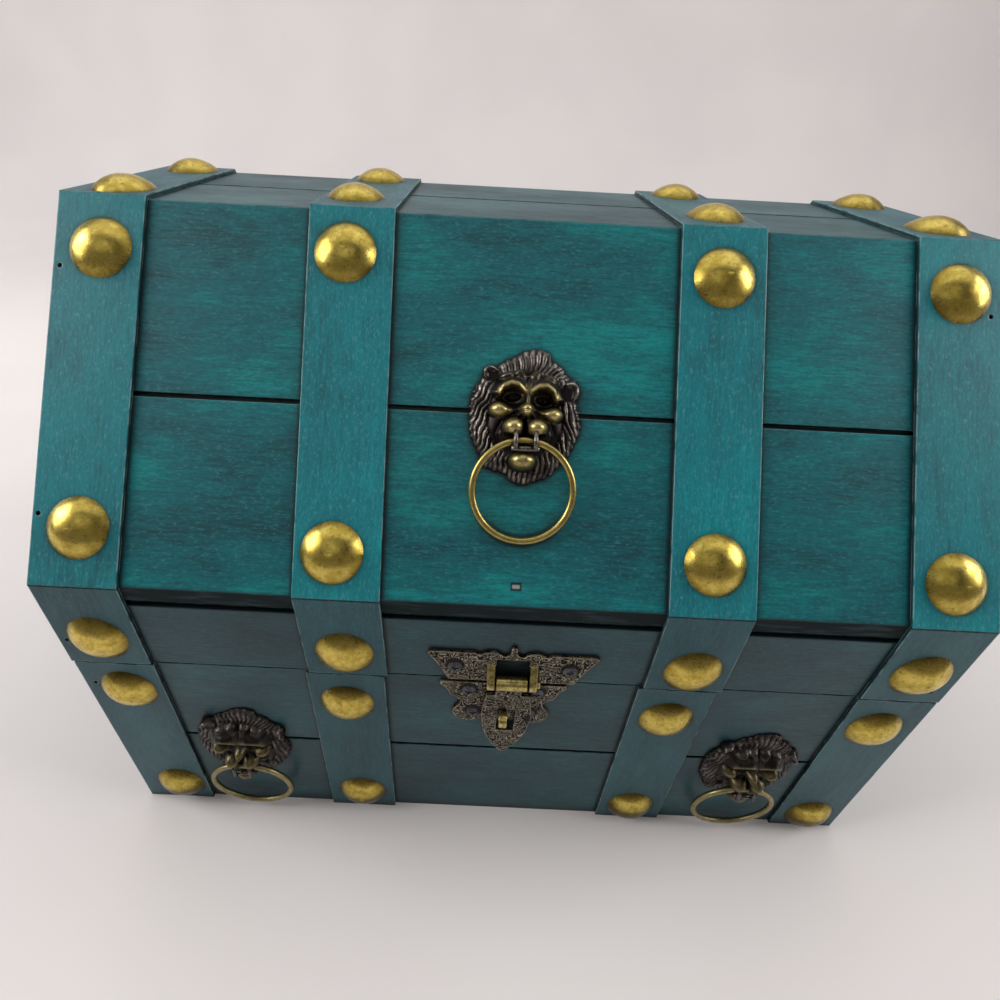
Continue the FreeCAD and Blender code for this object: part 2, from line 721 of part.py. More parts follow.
for number, (place, lean) in enumerate(zip(STRAP_EXPRESSIONS, STRAP_LEAN_SHARES), start=1):
    label = f"lid_strap_{number}"
    strap_start = f"{place} - dims.strap_width / 2"
    if lean:
        blank = leaning_strip(
            f"{label}_blank", STRAP_SECTION, strap_start, "dims.strap_width", lean, slope_middle)
    else:
        blank = strip(f"{label}_blank", STRAP_SECTION, strap_start, "dims.strap_width")
    keep(cut(label, blank, lid_holes), label)

# Dome nails and brads
nail = dome_nail()
keep(shape_piece("base_dome_nails", placed(nail, base_nail_seats)), "base_dome_nails")
keep(shape_piece("lid_dome_nails", placed(nail, lid_nail_seats)), "lid_dome_nails")
keep(shape_piece("base_brads", placed(brad, base_brad_seats)), "base_brads")
keep(shape_piece("lid_brads", placed(brad, lid_brad_seats)), "lid_brads")

# Hinges: each has a base leaf with two knuckles, a lid leaf with one between them, and a pin
hinge_half = size("hinge_width") / 2
lid_knuckle_half = size("hinge_lid_knuckle_width") / 2
base_knuckle_start = lid_knuckle_half + size("knuckle_gap")
hinge_radius = size("hinge_knuckle_radius")
hinge_out = size("hinge_axis_out")


def hinge_leaf(side, knuckles, bore):
    """A leaf below (side -1) or above (side 1) the pin, with knuckles between pairs of X places."""
    near = hinge_radius + size("swing_gap")
    far = size("hinge_leaf_height")
    low, high = sorted((side * near, side * far))
    leaf = block(Vector(-hinge_half, low, 0), Vector(hinge_half, high, hinge_face))
    low, high = sorted((0, side * near))
    for left, right in knuckles:
        neck = block(Vector(left, low, 0), Vector(right, high, hinge_face))
        leaf = leaf.fuse([neck, cross_rod(hinge_radius, left, right, 0, hinge_out)])
    return leaf.removeSplitter().cut(cross_rod(bore, -hinge_half, hinge_half, 0, hinge_out))


BASE_KNUCKLES = [(-hinge_half, -base_knuckle_start), (base_knuckle_start, hinge_half)]
hinge_pin_radius = size("hinge_pin_radius")
hinge_base_leaf = hinge_leaf(-1, BASE_KNUCKLES, hinge_pin_radius)
hinge_lid_leaf = hinge_leaf(
    1, [(-lid_knuckle_half, lid_knuckle_half)], hinge_pin_radius + size("pin_clearance"))
hinge_pin = cross_rod(hinge_pin_radius, -hinge_half, hinge_half, 0, hinge_out)
hinge_base_cuts = placed(hinge_screw_hole, hinge_base_screw_seats)
hinge_lid_cuts = placed(hinge_screw_hole, hinge_lid_screw_seats)
for name, hinge_seat in HINGE_SEATS.items():
    base_leaf = placed(hinge_base_leaf, [hinge_seat]).cut(hinge_base_cuts)
    lid_leaf = placed(hinge_lid_leaf, [hinge_seat]).cut(hinge_lid_cuts)
    keep(shape_piece(f"hinge_{name}_base_leaf", base_leaf), f"hinge_{name}_base_leaf")
    keep(shape_piece(f"hinge_{name}_lid_leaf", lid_leaf), f"hinge_{name}_lid_leaf")
    keep(shape_piece(f"hinge_{name}_pin", placed(hinge_pin, [hinge_seat])), f"hinge_{name}_pin")

hinge_screw = screw(
    size("hinge_screw_head_radius"), size("hinge_screw_head_rise"),
    size("hinge_screw_radius"), size("hinge_screw_length"))
keep(shape_piece("hinge_base_screws", placed(hinge_screw, hinge_base_screw_seats)), "hinge_base_screws")
keep(shape_piece("hinge_lid_screws", placed(hinge_screw, hinge_lid_screw_seats)), "hinge_lid_screws")

# Hasp: a plate with two knuckles on the lid, a pin, a hinged tongue with a slot, and a plate with
# a staple on the base. Outlines are shares of each plate's half width and height.
hasp_radius = size("hasp_knuckle_radius")
hasp_out = size("hasp_axis_out")
hasp_up = size("hasp_axis_up")
barrel_half = size("hasp_barrel_width") / 2
knuckle_start = barrel_half + size("knuckle_gap")
knuckle_end = knuckle_start + size("hasp_knuckle_width")
swing_gap = size("swing_gap")


def sized(shares, half, height, foot):
    """An outline's points from shares of a half width across and of a height up from its foot."""
    points = []
    for share in shares:
        across = [value * half for value in share[0::2]]
        upward = [foot + value * height for value in share[1::2]]
        points.append(tuple(value for pair in zip(across, upward) for value in pair))
    return points


LID_PLATE_SHARES = [
    (0, 0), (0.76, 0), (0.852, 0.435, 1, 0.935), (0.965, 1), (0.45, 1), (0.405, 0.94, 0.364, 0.963),
    (0.25, 1.046, 0.123, 0.907), (0.068, 0.935, 0.034, 1.02), (0.034, 1.157), (0.024, 1.21, 0, 1.22)]
lid_plate_half = size("hasp_lid_plate_width") / 2
lid_plate_foot = size("hasp_lid_plate_foot")
lid_plate_points = sized(
    LID_PLATE_SHARES, lid_plate_half, size("hasp_lid_plate_height"), lid_plate_foot)
lid_plate_points[-1] = lid_plate_points[-1][:2] + (0, size("hasp_finial_height"))
lid_plate = outline_solid(both_sides(lid_plate_points), hasp_face)

# Each knuckle is the end of a strip that leaves the plate above the pin and curls round it. The
# strip's front meets the knuckle at these shares of the radius above the pin and out of it.
STRIP_FRONT_SHARES = (0.52, 0.85)
strip_front_up = hasp_up + STRIP_FRONT_SHARES[0] * hasp_radius
strip_front_out = hasp_out + STRIP_FRONT_SHARES[1] * hasp_radius
knuckle_strip = outline_solid([
    (0, size("hasp_knuckle_top")), (-hasp_face, size("hasp_knuckle_top")),
    (-strip_front_out, strip_front_up), (-hasp_out, hasp_up), (0, hasp_up)], size("hasp_knuckle_width"))
side_on = Rotation(Vector(1, 0, 0), Vector(0, 0, -1))
for left, right in ((-knuckle_end, -knuckle_start), (knuckle_start, knuckle_end)):
    side_strip = knuckle_strip.copy()
    side_strip.Placement = Placement(Vector(left, 0, 0), side_on)
    lid_plate = lid_plate.fuse([side_strip, cross_rod(hasp_radius, left, right, hasp_up, hasp_out)])
lid_plate = lid_plate.removeSplitter()
lid_plate = lid_plate.cut(block(
    Vector(-knuckle_start, -overrun, -overrun),
    Vector(knuckle_start, size("hasp_notch_top"), hasp_face + overrun)))
lid_plate = lid_plate.cut(cross_rod(size("hasp_pin_radius"), -knuckle_end, knuckle_end, hasp_up, hasp_out))
lid_plate = lid_plate.cut(placed(hasp_screw_hole, spots(Placement(), hasp_lid_screw_places)))
keep(shape_piece("hasp_lid_plate", placed(lid_plate, [HASP_SEAT])), "hasp_lid_plate")

hasp_pin = cross_rod(
    size("hasp_pin_radius"), -knuckle_end, knuckle_end + size("hasp_pin_end"), hasp_up, hasp_out)
keep(shape_piece("hasp_pin", placed(hasp_pin, [HASP_SEAT])), "hasp_pin")

BASE_PLATE_SHARES = [
    (0, -0.94), (0.37, -0.94), (0.56, -1, 0.74, -0.91), (0.79, -0.79, 0.745, -0.665),
    (0.686, -0.576, 0.663, -0.494), (0.704, -0.424, 0.822, -0.353), (0.858, -0.288),
    (0.893, -0.188, 1, -0.07), (0.99, 0), (0, 0)]
base_plate_top = hasp_up - hasp_radius - swing_gap
base_plate = outline_solid(both_sides(sized(
    BASE_PLATE_SHARES, size("hasp_base_plate_width") / 2, size("hasp_base_plate_height"),
    base_plate_top)), hasp_face)
base_plate = base_plate.cut(placed(hasp_screw_hole, spots(Placement(), hasp_base_screw_places)))
keep(shape_piece("hasp_base_plate", placed(base_plate, [HASP_BASE_SEAT])), "hasp_base_plate")

# The tongue hangs from the pin, and its blade and slot sit a little to one side of its barrel
TONGUE_SHARES = [
    (0, -1), (0.2, -0.955, 0.39, -0.9), (0.67, -0.79, 0.89, -0.657), (1, -0.47, 0.985, -0.327),
    (0.87, -0.16), (0.5, -0.15), (0.5, 0), (0, 0)]
tongue_back = hasp_face + size("hasp_tongue_lift")
tongue_front = tongue_back + size("hasp_tongue_thickness")
tongue = outline_solid(both_sides(sized(
    TONGUE_SHARES, size("hasp_tongue_width") / 2, size("hasp_tongue_length"), hasp_up)),
    size("hasp_tongue_thickness"))
tongue.translate(Vector(size("hasp_tongue_shift"), 0, tongue_back))
tongue = tongue.fuse(cross_rod(hasp_radius, -barrel_half, barrel_half, hasp_up, hasp_out)).removeSplitter()
tongue = tongue.cut(cross_rod(
    size("hasp_pin_radius") + size("pin_clearance"), -barrel_half, barrel_half, hasp_up, hasp_out))
slot_left = size("hasp_tongue_shift") - size("hasp_slot_width") / 2
tongue = tongue.cut(block(
    Vector(slot_left, hasp_up - size("hasp_slot_bottom"), 0),
    Vector(slot_left + size("hasp_slot_width"), hasp_up - size("hasp_slot_top"), tongue_front + overrun)))
keep(shape_piece("hasp_tongue", placed(tongue, [HASP_SEAT])), "hasp_tongue")

eye_out = tongue_front + size("staple_eye_gap") + size("staple_eye_radius")
staple_left = size("staple_shift") - size("staple_width") / 2
staple_right = staple_left + size("staple_width")
staple_reach = size("staple_half_height")
staple = block(
    Vector(staple_left, -size("staple_drop") - staple_reach, hasp_face),
    Vector(staple_right, -size("staple_drop") + staple_reach, eye_out))
staple = staple.fuse(cross_rod(staple_reach, staple_left, staple_right, -size("staple_drop"), eye_out))
staple = staple.removeSplitter().cut(cross_rod(
    size("staple_eye_radius"), staple_left, staple_right, -size("staple_drop"), eye_out))
keep(shape_piece("hasp_staple", placed(staple, [HASP_SEAT])), "hasp_staple")

hasp_screw = screw(
    size("hasp_screw_head_radius"), size("hasp_screw_head_rise"),
    size("hasp_screw_radius"), size("hasp_screw_length"))
keep(shape_piece("hasp_lid_screws", placed(hasp_screw, hasp_lid_screw_seats)), "hasp_lid_screws")
keep(shape_piece("hasp_base_screws", placed(hasp_screw, hasp_base_screw_seats)), "hasp_base_screws")

# Lion heads: a mane plate with rounded forms on it. The outline is in shares of the head's width
# and height, and each form is (across, up, out, radius) in shares of its height.
MANE_SHARES = [
    (0, 0.5), (0.12, 0.465), (0.25, 0.38), (0.33, 0.31), (0.43, 0.29), (0.47, 0.19), (0.44, 0.1),
    (0.495, 0), (0.5, -0.1), (0.46, -0.2), (0.39, -0.28), (0.34, -0.34), (0.28, -0.4),
    (0.17, -0.405), (0.13, -0.45), (0.07, -0.49), (0, -0.5)]
INNER_MANE_SHARE = 0.74
INNER_MANE_UP_SHARE = 0.07
PAIR_SHARES = {
    "brow": (0.115, 0.15, 0.08, 0.085),
    "cheek": (0.18, -0.01, 0.055, 0.095),
    "muzzle": (0.075, -0.1, 0.125, 0.1),
    "ear": (0.34, 0.21, 0.02, 0.06),
}
SINGLE_SHARES = {
    "skull": (0, 0.06, -0.165, 0.335),
    "nose_bridge": (0, 0.05, 0.08, 0.085),
    "nose_tip": (0, -0.03, 0.16, 0.06),
    "chin": (0, -0.29, 0.09, 0.095),
}
FANG_ACROSS_SHARE = 0.07
lion_height = size("lion_height")


def mane_plate(scale, lift, thickness):
    """The mane's wavy outline as a plate, scaled about the head's middle and moved up."""
    right = [Vector(x * size("lion_width") * scale, y * lion_height * scale + lift, 0)
             for x, y in MANE_SHARES]
    left = [Vector(-point.x, point.y, 0) for point in reversed(right[1:-1])]
    curve = Part.BSplineCurve()
    curve.interpolate(right + left, PeriodicFlag=True)
    return Part.Face(Part.Wire(curve.toShape())).extrude(Vector(0, 0, thickness))


def ball(across, up, out, radius):
    """One rounded form of a lion's face."""
    centre = Vector(across * lion_height, up * lion_height, out * lion_height)
    return Part.makeSphere(radius * lion_height, centre)


def lion_head():
    """A lion head with its back on Z = 0 and an open mouth that runs right across for the ring."""
    forms = [mane_plate(INNER_MANE_SHARE, INNER_MANE_UP_SHARE * lion_height, size("inner_mane_rise"))]
    forms += [ball(*shares) for shares in SINGLE_SHARES.values()]
    for across, up, out, radius in PAIR_SHARES.values():
        forms += [ball(side * across, up, out, radius) for side in (-1, 1)]
    head = mane_plate(1, 0, size("mane_rise")).fuse(forms)
    behind = block(Vector(-lion_height, -lion_height, -lion_height), Vector(lion_height, lion_height, 0))
    head = head.cut(behind)
    drop = -size("mouth_drop")
    out = size("mouth_out")
    half_mouth = size("mouth_width") / 2
    reach = size("lion_width")
    mouth = cross_rod(size("mouth_radius"), -reach, reach, drop, out)
    corner = size("mouth_corner_radius")
    corners = [cross_rod(corner, half_mouth, reach, drop, out),
               cross_rod(corner, -reach, -half_mouth, drop, out)]
    head = head.cut(mouth.fuse(corners))
    fang = size("fang_radius")
    fang_out = out + size("mouth_radius") + fang
    fang_top = PAIR_SHARES["muzzle"][1] * lion_height
    fang_foot = SINGLE_SHARES["chin"][1] * lion_height
    for side in (-1, 1):
        foot = Vector(side * FANG_ACROSS_SHARE * lion_height, fang_foot, fang_out)
        head = head.fuse(Part.makeCylinder(fang, fang_top - fang_foot, foot, Vector(0, 1, 0)))
    screw_hole = rod(size("lion_screw_radius"), -overrun, size("lion_screw_bite"))
    screw_hole.translate(Vector(0, size("lion_screw_up"), 0))
    return head.cut(screw_hole)


lion = lion_head()
for name, lion_seat in LION_SEATS.items():
    keep(shape_piece(f"lion_{name}_head", placed(lion, [lion_seat])), f"lion_{name}_head")
keep(shape_piece("lion_lid_screw", placed(
    lion_screw(size("lid_board")), lion_screw_seats(("lid",)))), "lion_lid_screw")
keep(shape_piece("lion_base_screws", placed(
    lion_screw(size("base_board")), lion_screw_seats(("left", "right")))), "lion_base_screws")

# Rings: the one on the lid leans back on the slope, and those on the base lean in about half as far
ring_lean = math.degrees(math.asin(
    (size("mouth_out") - size("ring_wire_radius") - size("ring_rest_gap")) / (2 * size("ring_radius"))))
BASE_LEAN_SHARE = 0.48
RING_LEANS = {"lid": ring_lean, "left": BASE_LEAN_SHARE * ring_lean, "right": BASE_LEAN_SHARE * ring_lean}
for name, lean in RING_LEANS.items():
    ring = doc.addObject("Part::Torus", f"lion_{name}_ring")
    ring.setExpression("Radius1", "dims.ring_radius")
    ring.setExpression("Radius2", "dims.ring_wire_radius")
    turn = Placement(Vector(0, -size("mouth_drop"), size("mouth_out")), Rotation(Vector(1, 0, 0), lean))
    hang = Placement(Vector(0, -size("ring_radius"), 0), Rotation())
    ring.Placement = LION_SEATS[name].multiply(turn).multiply(hang)
    keep(ring, f"lion_{name}_ring")

doc.recompute()
for item in doc.Objects:
    if "Invalid" in item.State or "Error" in item.State:
        raise RuntimeError(f"{item.Label} failed: {item.State}")
for piece in NODES:
    if piece.Shape.isNull() or not piece.Shape.isValid() or not piece.Shape.Solids:
        raise RuntimeError(f"{piece.Label} has no valid solid")

os.makedirs("parts", exist_ok=True)
for piece in NODES:
    piece.Shape.exportStep(os.path.join("parts", f"{piece.Label}.step"))
    print(f"{piece.Label}: {len(piece.Shape.Solids)} solids, {piece.Shape.Volume:.1f} mm3")
print(f"{len(NODES)} pieces; the lid's ring leans by {ring_lean:.2f} degrees")
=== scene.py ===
import json
import math

import bpy
import numpy as np
from mathutils import Matrix, Vector


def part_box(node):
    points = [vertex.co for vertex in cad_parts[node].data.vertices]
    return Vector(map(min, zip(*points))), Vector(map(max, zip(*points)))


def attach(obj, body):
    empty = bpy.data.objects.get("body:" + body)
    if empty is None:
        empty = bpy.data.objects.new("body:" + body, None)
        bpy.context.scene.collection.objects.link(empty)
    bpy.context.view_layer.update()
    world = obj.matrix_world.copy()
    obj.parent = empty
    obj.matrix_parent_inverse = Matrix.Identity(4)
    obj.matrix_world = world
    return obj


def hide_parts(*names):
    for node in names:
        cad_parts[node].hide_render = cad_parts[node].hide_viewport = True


# Looks of the treasure chest box: teal-stained planks and straps, antique brass nails and hasp,
# and dark bronze lion pulls. Metres, +Z up, front towards -Y. Sizes on the chest are in millimetres.

MM = 0.001
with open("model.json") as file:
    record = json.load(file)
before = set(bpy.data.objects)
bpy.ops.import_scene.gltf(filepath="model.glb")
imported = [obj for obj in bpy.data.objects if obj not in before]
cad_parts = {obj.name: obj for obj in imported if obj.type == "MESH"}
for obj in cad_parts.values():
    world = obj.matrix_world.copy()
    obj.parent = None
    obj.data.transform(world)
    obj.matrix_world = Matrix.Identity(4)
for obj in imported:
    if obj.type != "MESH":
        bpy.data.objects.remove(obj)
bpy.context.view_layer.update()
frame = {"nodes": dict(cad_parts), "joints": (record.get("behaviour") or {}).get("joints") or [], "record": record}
nodes = frame["nodes"]
scene = bpy.context.scene
scene.view_settings.view_transform = "Standard"


# Measures of the chest
def measure(node, corner, axis):
    """One side of a CAD node's box in millimetres. Corner 0 is the lowest and 1 the highest."""
    return round(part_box(node)[corner]["XYZ".index(axis)] / MM, 2)


joint_places = {row["name"]: Vector(row["pos_m"]) for row in frame["joints"]}
FRONT = measure("base_front_lower_plank", 0, "Y")
BACK = -FRONT
TOP = measure("lid_top_front_plank", 1, "Z")
TOP_FRONT = measure("lid_top_front_plank", 0, "Y")
STRAP_TOP = measure("lid_strap_1", 1, "Z")
SEAM = round(joint_places["lid_hinge"].z / MM, 2)
HASP_MIDDLE = round(joint_places["hasp_swing"].x / MM, 2)
# The height of the edge between the lid's rails and its slopes
SHOULDER = 97.5


class Shader:
    """One material's nodes, built by short calls. An input may be a socket, a number or a colour."""

    def __init__(self, name):
        self.material = bpy.data.materials.new(name)
        self.material.use_nodes = True
        self.tree = self.material.node_tree
        self.tree.nodes.clear()

    def add(self, kind, inputs=None, **settings):
        node = self.tree.nodes.new("ShaderNode" + kind)
        for key, value in settings.items():
            setattr(node, key, value)
        for key, value in (inputs or {}).items():
            socket = node.inputs[key]
            if isinstance(value, bpy.types.NodeSocket):
                self.tree.links.new(value, socket)
            elif isinstance(value, tuple) and len(value) == 3 and socket.type == "RGBA":
                socket.default_value = (*value, 1)
            else:
                socket.default_value = value
        return node

    def math(self, operation, a, b):
        return self.add("Math", {0: a, 1: b}, operation=operation).outputs[0]

    def times(self, a, b):
        return self.math("MULTIPLY", a, b)

    def mix(self, factor, a, b, blend="MIX"):
        return self.add("Mix", {0: factor, 6: a, 7: b}, data_type="RGBA", blend_type=blend).outputs[2]

    def between(self, value, low, high, to_low=0.0, to_high=1.0):
        """A smooth step from one value at low to another at high."""
        inputs = {0: value, 1: low, 2: high, 3: to_low, 4: to_high}
        return self.add("MapRange", inputs, interpolation_type="SMOOTHSTEP").outputs[0]

    def noise(self, vector, scale, detail=2.0, roughness=0.5):
        inputs = {"Vector": vector, "Scale": scale, "Detail": detail, "Roughness": roughness}
        return self.add("TexNoise", inputs).outputs[0]

    def stretched(self, vector, scale):
        return self.add("Mapping", {"Vector": vector, "Scale": scale}).outputs[0]

    def coordinates(self):
        """Places on the chest, in metres."""
        return self.add("TexCoord").outputs["Object"]

    def own_coordinates(self):
        """Places on the chest, shifted by a different amount for each piece."""
        shift = self.times(self.add("ObjectInfo").outputs["Random"], 7.0)
        return self.add("VectorMath", {0: self.coordinates(), 1: shift}, operation="ADD").outputs[0]

    def near_edge(self, radius):
        """Normals rounded over the edges, and how far a place lies on such an edge."""
        rounded = self.add("Bevel", {"Radius": radius}, samples=4).outputs[0]
        flat = self.add("NewGeometry").outputs["True Normal"]
        turned = self.add("VectorMath", {0: rounded, 1: flat}, operation="DOT_PRODUCT").outputs["Value"]
        return rounded, self.between(turned, 0.99, 0.82)

    def in_hollow(self, distance, low, high, samples=4):
        """How far a place lies in a corner or beside a taller piece."""
        light = self.add("AmbientOcclusion", {"Distance": distance}, samples=samples).outputs["AO"]
        return self.between(light, low, high, 1.0, 0.0)

    def within(self, low, high, soft):
        """How far a place lies in a box with soft sides, in millimetres. A side at None is open."""
        parts = self.add("SeparateXYZ", {0: self.coordinates()}).outputs
        share = 1.0
        for axis in range(3):
            for limit, sign in ((low[axis], 1), (high[axis], -1)):
                if limit is not None:
                    edge = self.between(parts[axis], (limit - sign * soft) * MM, (limit + sign * soft) * MM)
                    share = self.times(edge, share)
        return share

    def bump(self, height, strength, distance, **normal):
        inputs = {"Height": height, "Strength": strength, "Distance": distance, **normal}
        return self.add("Bump", inputs).outputs[0]

    def surface(self, inputs):
        shader = self.add("BsdfPrincipled", inputs)
        out = self.add("OutputMaterial")
        self.tree.links.new(shader.outputs[0], out.inputs[0])
        return self.material


# Wood
# Dark glaze for the wood. The same colour is also used as painted shade in corners, beside the straps and nails,
# along the slope boards' feet and in the hasp's notch
GLAZE_AND_SHADE = (0.003, 0.008, 0.010)
# Painted shade: the upright walls and the flat top are painted darker and greyer than the lid's slopes, for the
# weaker light on them
WALL_SHADE = (0.3, 0.3, 0.36)
WALL_SHADE_GREY = (0.025, 0.042, 0.054)
# Dark, middle and bright stain, pale flecks and worn edges
PLANK_COLOURS = [
    (0.004, 0.054, 0.066), (0.003, 0.122, 0.142), (0.003, 0.235, 0.240),
    (0.06, 0.25, 0.265), (0.085, 0.22, 0.23)]
STRAP_COLOURS = [
    (0.006, 0.112, 0.136), (0.006, 0.195, 0.230), (0.006, 0.270, 0.300),
    (0.11, 0.33, 0.36), (0.34, 0.50, 0.51)]
# Scales of the pattern per metre, along and across the grain
CLOUDS = (26.0, 66.0)
FIBRES = (170.0, 1500.0)
FLECKS = (800.0, 1900.0)
# Marks on the wood: lowest and highest corner, softness and colour. On the planks they are painted shade along the
# slope board's foot at the front and back and on the wood in the notch of the hasp's upper plate, and the crown of
# a sunk staple low on the front slope in a dark patch. On the straps they are cracks where these bend over the
# shoulder.
FOOT_HEIGHT = 6.5
FOOT_DEPTH = 0.5
NOTCH_HALF_WIDTH = 4.4
STAPLE_METAL = (0.30, 0.34, 0.34)
STAPLE_BACK = FRONT + 6.5
PLANK_MARKS_AND_SHADE = [
    # Painted shade along the slope board's foot, front and back
    ((None, None, SHOULDER - FOOT_HEIGHT), (None, FRONT + FOOT_DEPTH, SHOULDER + 0.1), 0.6, GLAZE_AND_SHADE),
    ((None, BACK - FOOT_DEPTH, SHOULDER - FOOT_HEIGHT), (None, None, SHOULDER + 0.1), 0.6, GLAZE_AND_SHADE),
    # Painted shade on the wood in the notch of the hasp's upper plate
    ((HASP_MIDDLE - NOTCH_HALF_WIDTH, None, SEAM - 0.8),
     (HASP_MIDDLE + NOTCH_HALF_WIDTH, FRONT + FOOT_DEPTH, SEAM + 9.2), 0.4, GLAZE_AND_SHADE),
    ((-1.5, None, SHOULDER + 2.9), (1.1, STAPLE_BACK, SHOULDER + 4.5), 0.2, GLAZE_AND_SHADE),
    ((-1.1, None, SHOULDER + 3.3), (0.7, STAPLE_BACK, SHOULDER + 4.0), 0.2, STAPLE_METAL),
]
STRAP_STAINS = [((None, None, SHOULDER - 0.2), (None, FRONT - 0.1, SHOULDER + 0.3), 0.2, GLAZE_AND_SHADE)]


def wood(name, across, colours, top, marks):
    """Stained wood, with painted shade on the walls, the flat top and in corners. Across names the axes that its
    grain runs across, and top is its flat top's height.
    """
    s = Shader(name)
    place = s.own_coordinates()
    clouds, fibres, flecks = (
        s.stretched(place, tuple(cross_scale if axis in across else long_scale for axis in "XYZ"))
        for long_scale, cross_scale in (CLOUDS, FIBRES, FLECKS))
    dark, middle, bright, pale, worn = colours
    cloud = s.noise(clouds, 1.0, 5.0, 0.58)
    fibre = s.noise(fibres, 1.0, 4.0, 0.65)
    tone = s.math("ADD", s.times(cloud, 0.6), s.times(fibre, 0.4))
    colour = s.mix(s.between(tone, 0.33, 0.51), dark, middle)
    colour = s.mix(s.between(tone, 0.49, 0.66), colour, bright)
    fleck = s.noise(flecks, 1.0, 3.0, 0.7)
    colour = s.mix(s.between(fleck, 0.3, 0.46, 0.55, 0.0), colour, dark)
    colour = s.mix(s.between(fleck, 0.53, 0.72, 0.0, 0.6), colour, pale)
    # Painted shade: the walls and the flat top darker and greyer
    walls = s.within((None, None, None), (None, None, SHOULDER - 0.1), 0.3)
    flat_top = s.within((None, None, top - 0.1), (None, None, None), 0.05)
    colour = s.mix(s.times(walls, 0.6), colour, WALL_SHADE, "MULTIPLY")
    colour = s.mix(s.times(walls, 0.4), colour, WALL_SHADE_GREY)
    colour = s.mix(s.times(flat_top, 0.75), colour, WALL_SHADE, "MULTIPLY")
    # Painted shade with dark glaze: darker in corners and beside the straps and nails
    colour = s.mix(s.times(s.in_hollow(4 * MM, 0.4, 0.97), 0.8), colour, GLAZE_AND_SHADE)
    colour = s.mix(s.times(s.in_hollow(1.4 * MM, 0.68, 0.95), 0.9), colour, GLAZE_AND_SHADE)
    rounded, edge = s.near_edge(0.5 * MM)
    patchy = s.between(s.noise(place, 240.0, 3.0), 0.37, 0.57)
    colour = s.mix(s.times(edge, patchy), colour, worn)
    ragged = s.between(s.noise(fibres, 0.6, 3.0), 0.3, 0.5, 0.72, 0.96)
    gloss = s.between(tone, 0.35, 0.65, 0.48, 0.38)
    # The listed marks, among them painted shade at the slope boards' feet and in the hasp's notch
    for low, high, soft, mark in marks:
        marked = s.times(s.within(low, high, soft), ragged)
        colour = s.mix(marked, colour, mark)
        gloss = s.math("MAXIMUM", gloss, marked)
    return s.surface({
        "Base Color": colour, "Roughness": gloss, "Specular IOR Level": 0.38,
        "Normal": s.bump(fibre, 0.3, 0.1 * MM, Normal=rounded)})


# Brass: bright, dark and patina colours, least and greatest roughness, mottling per metre, and how much painted
# shade, in the patina colour, a dome has towards its rim
BRASSES = {
    "dome_nail_brass": (
        (0.64, 0.495, 0.115), (0.46, 0.34, 0.06), (0.06, 0.042, 0.010), 0.24, 0.36, 420.0, 0.94),
    "ring_brass": (
        (0.47, 0.375, 0.125), (0.34, 0.265, 0.085), (0.16, 0.12, 0.04), 0.28, 0.4, 500.0, 0.0),
    # A darker copy of the ring brass: painted shade for the rings low on the walls
    "ring_brass_shaded": (
        (0.33, 0.28, 0.14), (0.24, 0.20, 0.10), (0.10, 0.08, 0.04), 0.36, 0.46, 500.0, 0.0),
    "hinge_brass": (
        (0.42, 0.33, 0.14), (0.26, 0.20, 0.08), (0.05, 0.04, 0.02), 0.32, 0.46, 500.0, 0.0),
    "screw_brass": (
        (0.11, 0.11, 0.12), (0.055, 0.055, 0.06), (0.006, 0.006, 0.006), 0.36, 0.48, 700.0, 0.0),
    "brad_steel": (
        (0.05, 0.05, 0.05), (0.03, 0.03, 0.03), (0.01, 0.01, 0.01), 0.4, 0.5, 900.0, 0.0),
}


def brass(name, bright, dark, patina_and_shade, low_gloss, high_gloss, scale, rim):
    """Antique brass with soft mottling, dark patina in patches and in hollows, and painted shade towards a dome's
    rim.
    """
    s = Shader(name)
    place = s.own_coordinates()
    mottle = s.noise(place, scale, 5.0, 0.65)
    colour = s.mix(s.between(mottle, 0.36, 0.62), dark, bright)
    spots = s.noise(place, scale * 2.7, 3.0, 0.6)
    colour = s.mix(s.between(spots, 0.54, 0.7, 0.0, 0.4), colour, patina_and_shade)
    colour = s.mix(s.times(s.in_hollow(1.3 * MM, 0.4, 0.9), 0.9), colour, patina_and_shade)
    # Painted shade towards a dome's rim, in the patina colour
    if rim:
        colour = s.mix(s.times(s.in_hollow(14 * MM, 0.86, 0.965, 16), rim), colour, patina_and_shade)
    return s.surface({
        "Base Color": colour, "Metallic": 1.0,
        "Roughness": s.between(mottle, 0.3, 0.7, high_gloss, low_gloss),
        "Normal": s.bump(mottle, 0.12, 0.2 * MM)})


# Hasp: its screws and the gaps beside the tongue's knuckle, which get painted shade, from the hasp's middle and
# the seam
HASP_SCREWS = [(-15.0, 5.3), (15.0, 5.3), (-11.1, -4.6), (7.3, -4.6), (-9.6, -14.0), (5.8, -14.0)]
HASP_GAPS = [-4.28, 4.28]
GAP_HALF_WIDTH = 0.3
PLATE_FACE = FRONT - 0.9
# Plain brass: the knuckles and the pin, which stand out past the first face above the seam, and what
# stands out past the second, such as the staple
KNUCKLE_FACE = FRONT - 1.1
PROUD_FACE = FRONT - 3.2


